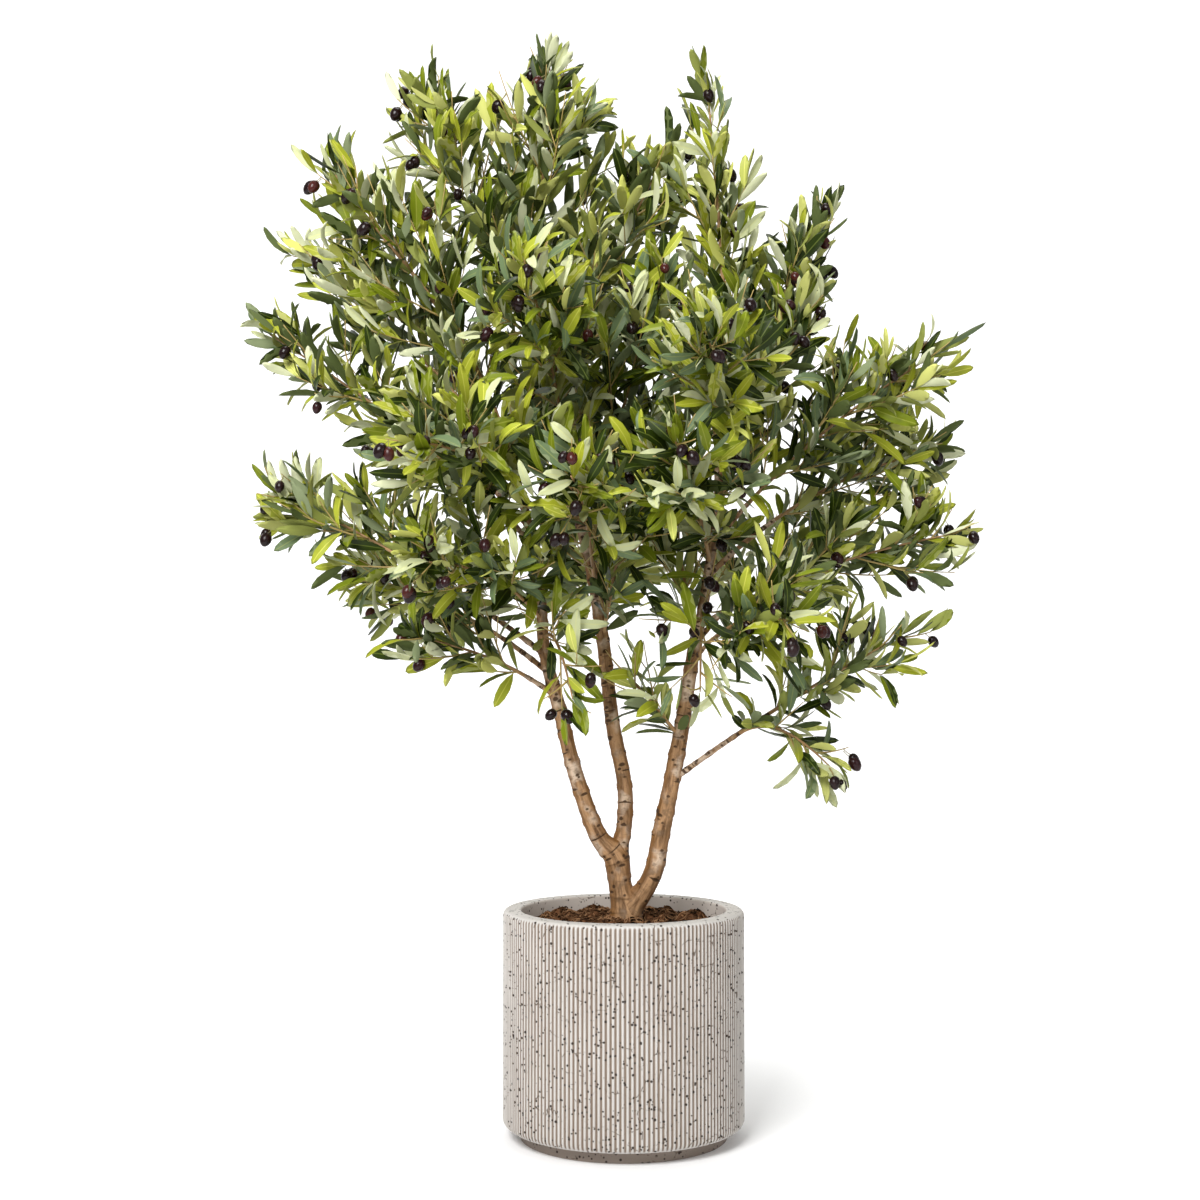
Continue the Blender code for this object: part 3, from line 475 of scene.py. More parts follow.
def tubes(name, points, radii, sides):
    """A mesh of closed tubes along n lines of k points: rings of points at the given radii round
    each line, from a direction square to it, with a pole at each end."""
    n, k, _ = points.shape
    headings = unit(np.gradient(points, axis=1))
    side, other = square_to(headings, unit(points[:, -1] - points[:, 0])[:, None])
    turns = np.arange(sides) * TURN / sides
    ring = side[:, :, None] * np.cos(turns)[:, None] + other[:, :, None] * np.sin(turns)[:, None]
    rings = points[:, :, None] + ring * radii[:, :, None, None]
    made = np.concatenate([rings.reshape(n, -1, 3), points[:, :1], points[:, -1:]], axis=1)
    return mesh_of_copies(name, made, *capped_grid(k, sides))


# ---- finishes


class Value:
    """A shader output that takes part in sums: each operator adds a Math node."""

    def __init__(self, finish, output):
        self.finish, self.output = finish, output

    def math(self, operation, *others):
        inputs = dict(enumerate((self, *others)))
        return self.finish.node("ShaderNodeMath", {"operation": operation}, inputs)

    def __add__(self, other):
        return self.math("ADD", other)

    def __mul__(self, other):
        return self.math("MULTIPLY", other)

    def __sub__(self, other):
        return self.math("SUBTRACT", other)

    def __rsub__(self, other):
        return self.finish.node("ShaderNodeMath", {"operation": "SUBTRACT"}, {0: other, 1: self})

    __radd__ = __add__
    __rmul__ = __mul__

    def clamped(self, low, high):
        """0 below the low value, 1 above the high one, and eased between them."""
        settings = {"interpolation_type": "SMOOTHSTEP"}
        return self.finish.node("ShaderNodeMapRange", settings, {0: self, 1: low, 2: high})


class Finish:
    """A Principled material, with some of its sockets fixed, and the nodes that feed the rest."""

    def __init__(self, name, **fixed):
        self.material = bpy.data.materials.new(name)
        self.material.use_nodes = True
        self.tree = self.material.node_tree
        self.shader = self.tree.nodes["Principled BSDF"]
        for socket, value in fixed.items():
            self.feed(self.shader.inputs[socket.replace("_", " ")], value)
        self.place = self.node("ShaderNodeTexCoord", {}, {}, "Object")

    def feed(self, socket, value):
        """Gives a socket a fixed value, or a link from a shader output."""
        if isinstance(value, Value):
            self.tree.links.new(value.output, socket)
        elif isinstance(value, tuple) and socket.type == "RGBA":
            socket.default_value = (*value, 1)
        else:
            socket.default_value = value

    def node(self, kind, settings, inputs, output=0):
        """A node of any type: its settings first, then its inputs' values or links."""
        made = self.tree.nodes.new(kind)
        for name, value in settings.items():
            setattr(made, name, value)
        for name, value in inputs.items():
            self.feed(made.inputs[name], value)
        return Value(self, made.outputs[output])

    def set(self, socket, value):
        self.feed(self.shader.inputs[socket], value)

    def noise(self, scale, detail=3.0, place=None, roughness=0.5):
        inputs = {"Vector": place or self.place, "Scale": scale, "Detail": detail, "Roughness": roughness}
        return self.node("ShaderNodeTexNoise", {}, inputs)

    def cells(self, scale, feature="F1", output="Distance", place=None):
        inputs = {"Vector": place or self.place, "Scale": scale}
        return self.node("ShaderNodeTexVoronoi", {"feature": feature}, inputs, output)

    def attribute(self, name, output="Fac"):
        return self.node("ShaderNodeAttribute", {"attribute_name": name}, {}, output)

    def mix(self, share, first, second):
        """The first colour where the share is 0, and the second where it is 1."""
        settings = {"data_type": "RGBA"}
        return self.node("ShaderNodeMix", settings, {0: share, 6: first, 7: second}, 2)

    def coats(self, colour, *coats):
        """A colour with others laid over it in turn, each as far as its share says."""
        for share, over in coats:
            colour = self.mix(share, colour, over)
        self.set("Base Color", colour)

    def bump(self, height, depth, strength=1.0):
        inputs = {"Height": height, "Distance": depth, "Strength": strength}
        self.set("Normal", self.node("ShaderNodeBump", {}, inputs))


def plain_finish(name, colour, roughness, specular=0.5):
    """One colour, for leaves and twigs too small to show more."""
    fixed = {"Base_Color": colour, "Roughness": roughness, "Specular_IOR_Level": specular}
    return Finish(name, **fixed).material


def stoneware_finish():
    """Greige stoneware, pale on its ribs and darker with painted shade between them, with dark brown specks
    and faint crazing.
    """
    finish = Finish("stoneware")
    rise = finish.attribute("rise")
    cloud = finish.noise(9.0, 4.0)
    # Painted shade: the valleys between the ribs take this darker colour
    valley = finish.mix(cloud, (0.150, 0.104, 0.072), (0.225, 0.168, 0.126))
    ridge = finish.mix(cloud, (0.500, 0.468, 0.435), (0.640, 0.618, 0.590))
    wandering = finish.noise(55.0, 2.0)
    shift = finish.node(
        "ShaderNodeVectorMath", {"operation": "MULTIPLY_ADD"},
        {0: wandering, 1: (0.010, 0.010, 0.010), 2: finish.place},
    )
    edge = finish.cells(30.0, "DISTANCE_TO_EDGE", "Distance", shift)
    patches = finish.noise(16.0, 1.0).clamped(0.46, 0.56)
    craze = (1 - edge.clamped(0.010, 0.026)) * patches
    broken = finish.noise(150.0, 1.0).clamped(0.45, 0.60)
    grain = finish.noise(60.0, 1.0)
    small = (1 - finish.cells(135.0).clamped(0.20, 0.25)) * grain.clamped(0.47, 0.53)
    large = (1 - finish.cells(82.0).clamped(0.15, 0.19)) * grain.clamped(0.28, 0.38)
    specks = small.math("MAXIMUM", large)
    finish.coats(
        valley,
        (rise.clamped(0.12, 0.98), ridge),
        (rise.clamped(1.0, INSIDE_RISE), (0.530, 0.475, 0.430)),
        (craze * broken * 0.85, (0.075, 0.047, 0.028)),
        (specks * 0.98, (0.022, 0.012, 0.007)),
    )
    finish.set("Roughness", 0.66 + finish.noise(180.0) * 0.2)
    finish.bump(finish.noise(420.0, 2.0) * 0.3 - craze * 0.8 - specks, 0.0004, 0.6)
    return finish.material


def soil_finish():
    """Dark brown crumbs, some of them lighter."""
    finish = Finish("soil", Specular_IOR_Level=0.0)
    crumbs = finish.noise(62.0, 6.0, None, 0.78)
    finish.coats((0.006, 0.003, 0.001), (crumbs.clamped(0.43, 0.60), (0.135, 0.062, 0.030)))
    finish.set("Roughness", 0.85 + crumbs * 0.14)
    finish.bump(finish.noise(320.0, 3.0), 0.0015)
    return finish.material


def fibre_finish(name, dark, light):
    """Dull fibre or bark, dark in places and light in others."""
    finish = Finish(name, Roughness=0.85, Specular_IOR_Level=0.04)
    finish.coats(dark, (finish.noise(45.0).clamped(0.35, 0.65), light))
    return finish.material


def bark_finish(name, light, dark):
    """Smooth young bark: streaks along the limb, small marks across it, pale and dark clouds,
    painted golden-brown shade towards its left and right, and dark scars."""
    finish = Finish(name, Specular_IOR_Level=0.25)
    grain = finish.attribute("grain", "Vector")
    crosswise = finish.node(
        "ShaderNodeVectorMath", {"operation": "MULTIPLY"}, {0: grain, 1: (0.5, 0.5, 9.0)}
    )
    streaks = finish.noise(150.0, 4.0, grain, 0.6)
    marks = finish.noise(210.0, 2.0, crosswise, 0.6)
    cloud = finish.noise(26.0, 3.0)
    smudges = finish.noise(52.0, 3.0)
    # Painted shade: golden brown where the limb faces left or right, mottled by noise
    side_shade = finish.attribute("flank").clamped(0.30, 0.98) * (0.40 + finish.noise(17.0, 2.0) * 0.9)
    scars = finish.attribute("scar")
    finish.coats(
        dark,
        (streaks.clamped(0.28, 0.66), light),
        (cloud.clamped(0.48, 0.62) * 0.66, (0.74, 0.59, 0.45)),
        (marks.clamped(0.57, 0.70) * 0.55, (0.18, 0.11, 0.062)),
        (smudges.clamped(0.52, 0.66) * 0.65, (0.115, 0.066, 0.033)),
        # the painted shade on the limb's left and right sides
        (side_shade * 0.95, (0.200, 0.086, 0.020)),
        (scars.clamped(0.12, 0.48) * 0.95, (0.050, 0.024, 0.009)),
    )
    finish.set("Roughness", 0.55 + streaks * 0.25)
    finish.bump(streaks * 0.6 + marks * 0.8 - scars, 0.0007, 0.8)
    return finish.material


def olive_finish(name, skin, blush):
    """Ripe glossy skin, with a duller blush of another colour."""
    finish = Finish(name, Specular_IOR_Level=0.26)
    cloud = finish.noise(60.0, 2.0).clamped(0.50, 0.72)
    finish.coats(skin, (cloud * 0.7, blush))
    finish.set("Roughness", 0.20 + cloud * 0.2)
    return finish.material


# ---- planter and soil


def arc(centre, radius, start, end, steps):
    """Points round part of a circle, between two angles in degrees."""
    angles = np.radians(np.linspace(start, end, steps + 1))
    return np.stack([centre[0] + radius * np.cos(angles), centre[1] + radius * np.sin(angles)], -1)


def inner_radius(height):
    """The inner wall's radius, which falls evenly by the draft from the rim to the floor."""
    fall = (POT_HEIGHT - height) / (POT_HEIGHT - FLOOR_THICKNESS)
    return POT_RADIUS - RIM_WIDTH - WALL_DRAFT * fall


def straight(start, end, steps):
    """Even points between two ends, without the ends."""
    return np.linspace(start, end, steps + 1)[1:-1]


def pot_profile():
    """(radius, height, how deep the ribs are) down the outside, from inside the rim to the foot."""
    under = FOOT_HEIGHT + LOWER_ROUND
    rim_out, rim_in = POT_RADIUS - RIM_OUTER_ROUND, POT_RADIUS - RIM_WIDTH + RIM_INNER_ROUND
    floor = SOIL_HEIGHT - SOIL_DIP - SOIL_SIDE - 0.002
    inside = np.array([(inner_radius(floor), floor)])
    mouth = arc((rim_in, POT_HEIGHT - RIM_INNER_ROUND), RIM_INNER_ROUND, 180, 90, 4)
    outer = arc((rim_out, POT_HEIGHT - RIM_OUTER_ROUND), RIM_OUTER_ROUND, 90, 0, 10)
    wall = straight((POT_RADIUS, POT_HEIGHT - RIM_OUTER_ROUND), (POT_RADIUS, under), 30)
    corner = arc((POT_RADIUS - LOWER_ROUND, under), LOWER_ROUND, 0, -90, 7)
    step = np.array([(FOOT_RADIUS + FOOT_CHAMFER, FOOT_HEIGHT), (FOOT_RADIUS, FOOT_HEIGHT - FOOT_CHAMFER)])
    foot = arc((FOOT_RADIUS - FOOT_ROUND, FOOT_ROUND), FOOT_ROUND, 0, -90, 2)
    profile = np.vstack([inside, straight(inside[0], mouth[0], 4), mouth, outer, wall, corner, step, foot])
    z = profile[:, 1]
    outside = profile[:, 0] > POT_RADIUS - LOWER_ROUND * 0.75
    top = np.clip((POT_HEIGHT - RIB_INSET - z) / RIB_TOP_FADE, 0, 1)
    end = np.clip((z - FOOT_HEIGHT - RIB_INSET) / RIB_FOOT_FADE, 0, 1)
    depth = np.where(outside, np.minimum(top * top * (3 - 2 * top), end), 0)
    return profile, depth


def make_pot():
    """The planter as a surface of height and turn. Each rib is a rounded, uneven ridge: the wall
    falls back between two of them by the rib's depth times (1 - a raised cosine to a power)."""
    profile, depth = pot_profile()
    columns = RIBS * RIB_COLUMNS
    turn = np.arange(columns) * TURN / columns
    z = profile[:, 1][:, None]
    draw = np.random.default_rng(5)
    wobble = 0
    for _ in range(WOBBLES):
        height, waves = draw.uniform(0.3, 1), draw.integers(9, 60)
        rate, phase = draw.uniform(9, 60), draw.uniform(0, TURN)
        wobble = wobble + height * np.sin(turn * waves + z * rate + phase) / WOBBLE_RANGE
    wave = 0.5 + 0.5 * np.cos(turn * RIBS)
    ridge = wave**RIB_SHARPNESS * (1 + RIB_WOBBLE * wobble) - RIB_CHIP * (wobble > 0.9)
    ridge = np.clip(ridge, 0, 1)
    radius = profile[:, 0][:, None] - RIB_DEPTH * depth[:, None] * (1 - ridge)
    points = np.stack([radius * np.cos(turn), radius * np.sin(turn), z + 0 * turn], -1)
    rise = np.where(depth[:, None] > 0, 1 - depth[:, None] * (1 - ridge), PLAIN_RISE + 0 * turn)
    rise[profile[:, 1] < FOOT_HEIGHT + 0.0005] = FOOT_RISE
    within = profile[:, 0] < POT_RADIUS - RIM_WIDTH + RIM_INNER_ROUND * 0.6
    rise[within & (profile[:, 1] > FOOT_HEIGHT * 2)] = INSIDE_RISE
    mesh = capped_mesh("planter", points, [(0, 0, profile[0, 1]), (0, 0, 0)])
    give_attribute(mesh, "rise", np.concatenate([rise.ravel(), [0.5, 0.1]]))
    piece(mesh, [stoneware_finish()], "pot", "pot")


def noise_field(x, y, draw, lowest, highest, count):
    """Even noise: a sum of waves in random directions, each as high as it is long."""
    total = np.zeros_like(x)
    for _ in range(count):
        rate = math.exp(draw.uniform(math.log(lowest), math.log(highest)))
        heading, phase = draw.uniform(0, TURN, 2)
        total += np.sin((x * math.cos(heading) + y * math.sin(heading)) * rate + phase) * lowest / rate
    return total


def soil_height(x, y):
    """The soil's level: a shallow mound, raised a little round the trunk, with crumbs."""
    draw = np.random.default_rng(11)
    away = np.hypot(x, y) / inner_radius(SOIL_HEIGHT)
    mound = SOIL_HEIGHT - CRUMB_HEIGHT - SOIL_DIP * away**2
    collar = COLLAR_HEIGHT * np.exp(-(np.hypot(x, y) / COLLAR_REACH) ** 2)
    return mound + collar + CRUMB_HEIGHT * noise_field(x, y, draw, *CRUMB_RATES, CRUMB_WAVES)


def make_soil():
    """A crumbly disc, its level worked out at each radius and turn, with fibres strewn on it."""
    rows, columns = 70, 220
    edge = inner_radius(SOIL_HEIGHT - SOIL_DIP) - SOIL_GAP
    radius = (np.linspace(0.02, 1, rows) ** 0.8 * edge)[:, None]
    turn = np.arange(columns) * TURN / columns
    x, y = radius * np.cos(turn), radius * np.sin(turn)
    top = np.stack([x, y, soil_height(x, y)], -1)
    wall = np.stack([x[-1], y[-1], np.full(columns, SOIL_HEIGHT - SOIL_DIP - SOIL_SIDE)], -1)[None]
    poles = [(0, 0, soil_height(np.zeros(1), np.zeros(1))[0]), (0, 0, wall[0, 0, 2])]
    mesh = capped_mesh("soil_top", np.vstack([top, wall]), poles)
    piece(mesh, [soil_finish()], "soil", "soil")
    make_fibres(edge)


# What lies on the soil: how many, the longest and the thickest of them, dark and light colours
STREWN = {
    "soil_fibres": (1300, 0.026, 0.00075, (0.050, 0.021, 0.010), (0.37, 0.205, 0.105)),
    "soil_chips": (620, 0.010, 0.0018, (0.005, 0.003, 0.001), (0.110, 0.050, 0.022)),
}
STREWN_LIFT = 0.0022


def make_fibres(edge):
    """Fibres lying on the soil: short arcs, a little raised in their middle."""
    draw = np.random.default_rng(21)
    for name, (count, longest, thickest, dark, light) in STREWN.items():
        away = edge * 0.97 * np.sqrt(draw.uniform(0, 1, count))
        turn, heading = draw.uniform(0, TURN, (2, count))
        bend = draw.normal(0, 1.2, count)
        length = longest * draw.uniform(0.3, 1, count)
        t = np.linspace(-0.5, 0.5, 7)
        curve = heading[:, None] + bend[:, None] * t
        x = (away * np.cos(turn))[:, None] + length[:, None] * t * np.cos(curve)
        y = (away * np.sin(turn))[:, None] + length[:, None] * t * np.sin(curve)
        inside = np.minimum(1, edge * 0.985 / np.hypot(x, y))
        x, y = x * inside, y * inside
        lift = thickest * 0.3 + draw.uniform(0, STREWN_LIFT, count)[:, None] * (1 - (2 * t) ** 2)
        points = np.stack([x, y, soil_height(x, y) + lift], -1)
        radii = thickest * draw.uniform(0.5, 1, count)[:, None] * (1 - 0.6 * (2 * t) ** 2)
        piece(tubes(name, points, radii, 5), [fibre_finish(name, dark, light)], "soil")


# ---- bark


RING_STEP = 0.0013  # between the rings of points along a limb
BALL_STEP = 0.004
FILLET = 0.016  # how far from another limb a limb starts to swell towards it
SCAR_ROOM = 0.0065  # length of limb for each scar
SCAR_WIDE = (0.0020, 0.0072)
SCAR_TALL = (0.0014, 0.0036)
SCAR_LIP = 0.0005
SCAR_PIT = 0.0009
TWIG_SCAR = (0.0027, 0.0022, 0.0021, 0.0014)  # wide, tall, lip and pit where twigs have grown
NODE_TALL = (0.0018, 0.0034)
NODE_SWELL = (0.03, 0.085)  # as shares of the limb's radius
NODE_GAP = (0.015, 0.030)
NODE_LEAN = 0.30
CREASE_TALL = 0.0011
CREASE_DEPTH = 0.0004
UNEVEN_WAVES = 10
UNEVEN_HEIGHT = 0.008
UNEVEN_RATES = (15, 130)
STREAK_STRETCH = 0.16  # how slowly streaks change along a limb, next to round it
STEM_SIDES = (48, 36, 40)
STEM_FLARES = (0.10, 0.0, 0.10)  # how much each stem widens at its foot
FLARE_REACH = 0.016
FLARE_LOBES = 3
BOUGH_SIDES = 14
TRUNK_SUNK = 0.006  # how far the trunk reaches into the soil


def signed_distance(points, line):
    """How far points lie outside a limb, below 0 inside it: the least over balls along its line."""
    places, _, radii = line.every(BALL_STEP)
    nearest = np.full(len(points), np.inf)
    for place, radius in zip(places, radii):
        nearest = np.minimum(nearest, np.linalg.norm(points - place, axis=1) - radius)
    return nearest


def bark_limb(line, sides, draw, others, flare=0.0):
    """A limb's surface: rings of its own radius, swollen at each node, uneven, scarred, and
    filleted by (F - d)^2 / 4F where another limb is nearer than F. Returns points, faces, fields."""
    rows = int(line.length / RING_STEP)
    along = np.linspace(0, line.length, rows)
    places, _, radii = line.at(along)
    side, other = square_to(unit(np.gradient(places, axis=0)), unit(places[-1] - places[0]))
    turn = np.arange(sides) * TURN / sides
    s, phi, radius = along[:, None], turn[None], radii[:, None]
    swell = np.zeros((rows, sides))
    scar = np.zeros((rows, sides))
    relief = np.zeros((rows, sides))

    def mark(at, facing, wide, tall, lip, pit):
        """How strong a spot is at each point, and how high: a pit with a raised lip round it."""
        round_way = ((phi - facing + math.pi) % TURN - math.pi) * radius
        along_way = s - at - 0.0004 * np.cos(round_way / wide * 2)
        spot = np.exp(-((round_way / wide) ** 2) - (along_way / tall) ** 2)
        around = np.exp(-((round_way / (wide * 1.6)) ** 2) - (along_way / (tall * 2.0)) ** 2)
        return spot, lip * around - pit * spot

    # Nodes: each a swelling, higher on one side, a crease below it and the scars of two twigs
    node, quarter = draw.uniform(0.004, 0.015), draw.uniform(0, TURN)
    while node < line.length:
        tall, height = draw.uniform(*NODE_TALL), draw.uniform(*NODE_SWELL)
        lean, facing = draw.uniform(-NODE_LEAN, NODE_LEAN), draw.uniform(0, TURN)
        ring = s - node - lean * radius * np.cos(phi - facing)
        share = 0.5 + 0.5 * np.cos(phi - facing)
        swell += height * np.exp(-((ring / tall) ** 2)) * (0.35 + 0.65 * share)
        crease = np.exp(-(((ring + tall * 1.1) / CREASE_TALL) ** 2)) * np.clip(share * 3 - 1.6, 0, 1)
        scar = np.maximum(scar, crease * draw.uniform(0.30, 1.0))
        relief -= CREASE_DEPTH * crease
        for side_turn in (0, math.pi):
            spot, raised = mark(node + 0.001, quarter + side_turn, *TWIG_SCAR)
            scar, relief = np.maximum(scar, spot * draw.uniform(0.5, 1)), relief + raised
        quarter += math.pi / 2 + draw.normal(0, 0.2)
        node += draw.uniform(*NODE_GAP)
    # Waves along and round the limb
    for _ in range(UNEVEN_WAVES):
        waves, rate, phase = draw.integers(1, 5), draw.uniform(*UNEVEN_RATES), draw.uniform(0, TURN)
        swell += UNEVEN_HEIGHT * draw.uniform(0.3, 1) * np.sin(waves * phi + rate * s + phase)
    # Scars anywhere
    for _ in range(int(line.length / SCAR_ROOM)):
        at, facing = draw.uniform(0, line.length), draw.uniform(0, TURN)
        wide, tall = draw.uniform(*SCAR_WIDE), draw.uniform(*SCAR_TALL)
        spot, raised = mark(at, facing, wide, tall, SCAR_LIP, SCAR_PIT)
        scar, relief = np.maximum(scar, spot * draw.uniform(0.4, 1)), relief + raised
    # The foot's flare, the surface itself, and the fillets towards other limbs
    buttress = 1 + flare * np.exp(-s / FLARE_REACH) * (0.35 + 0.65 * np.cos(FLARE_LOBES * phi + 0.8))
    out = side[:, None] * np.cos(phi)[..., None] + other[:, None] * np.sin(phi)[..., None]
    swollen = radius * (1 + swell) * buttress + relief * np.minimum(1, radius / 0.008)
    points = places[:, None] + out * swollen[..., None]
    near = np.full((rows, sides), np.inf)
    for limb in others:
        near = np.minimum(near, signed_distance(points.reshape(-1, 3), limb).reshape(rows, sides))
    fillet = np.clip(FILLET - np.maximum(near, 0), 0, None) ** 2 / (4 * FILLET)
    points += out * (fillet * np.minimum(1, radius / 0.014))[..., None]
    # Fields for the finish: where streaks run, and how far a point faces left or right, which sets the
    # painted shade on the limb's sides
    grain = np.stack([np.cos(phi) * radius, np.sin(phi) * radius, 0 * phi + s * STREAK_STRETCH], -1)
    poles = np.stack([places[0], places[-1]])
    return (
        np.vstack([points.reshape(-1, 3), poles]),
        *capped_grid(rows, sides),
        np.concatenate([scar.ravel(), [0, 0]]),
        np.vstack([grain.reshape(-1, 3), grain[0, 0], grain[-1, 0]]),
        np.concatenate([np.abs(out[..., 0]).ravel(), [0, 0]]),
    )


def join(parts):
    """Several surfaces as one: their points and fields in a row, and their faces moved on."""
    first = np.cumsum([0] + [len(part[0]) for part in parts[:-1]])
    points = np.vstack([part[0] for part in parts])
    quads = np.vstack([part[1] + at for part, at in zip(parts, first)])
    triangles = np.vstack([part[2] + at for part, at in zip(parts, first)])
    fields = [np.concatenate([part[i] for part in parts]) for i in range(3, len(parts[0]))]
    return points, quads, triangles, fields


def make_bark(limbs):
    """The trunk and stems, one piece, and the boughs, another."""
    draw = np.random.default_rng(31)
    stems = {name: limbs[name] for name in ("left_stem", "centre_stem", "right_stem")}
    boughs = {name: line for name, line in limbs.items() if name.endswith("_bough")}
    stem_parts = [
        bark_limb(line, sides, draw, [other for other in stems.values() if other is not line], flare)
        for line, sides, flare in zip(stems.values(), STEM_SIDES, STEM_FLARES)
    ]
    bough_parts = [bark_limb(line, BOUGH_SIDES, draw, []) for line in boughs.values()]
    for name, finish, light, dark, parts, replaced in (
        ("trunk_bark", "bark", (0.415, 0.240, 0.118), (0.085, 0.037, 0.011), stem_parts, ("trunk", *stems)),
        ("bough_bark", "bough_bark", (0.37, 0.220, 0.105), (0.140, 0.070, 0.025), bough_parts, boughs),
    ):
        points, quads, triangles, fields = join(parts)
        points[:, 2] = np.maximum(points[:, 2], SOIL_HEIGHT - TRUNK_SUNK)
        mesh = mesh_of(name, points, quads, triangles)
        # flank places the painted shade on the left and right of each limb
        for field, values in zip(("scar", "grain", "flank"), fields):
            give_attribute(mesh, field, values)
        piece(mesh, [bark_finish(finish, light, dark)], "bark", *replaced)


# ---- how the crown grows


def way_out(places, rise):
    """Directions straight out from the trunk's axis, and a little upwards."""
    return unit(places * (1, 1, 0) + (0, 0, rise))


def across(headings, turns):
    """Directions square to headings, turned round them."""
    side, other = square_to(headings, headings)
    turns = np.asarray(turns)[..., None]
    return side * np.cos(turns) + other * np.sin(turns)


def slanted(headings, turns, slants, lift):
    """Directions that leave headings at a slant, and bend up a little."""
    slants = np.asarray(slants)[..., None]
    headings = np.broadcast_to(headings, np.broadcast_shapes(headings.shape, (*np.shape(turns), 3)))
    return unit(headings * np.cos(slants) + across(headings, turns) * np.sin(slants) + UP * lift)


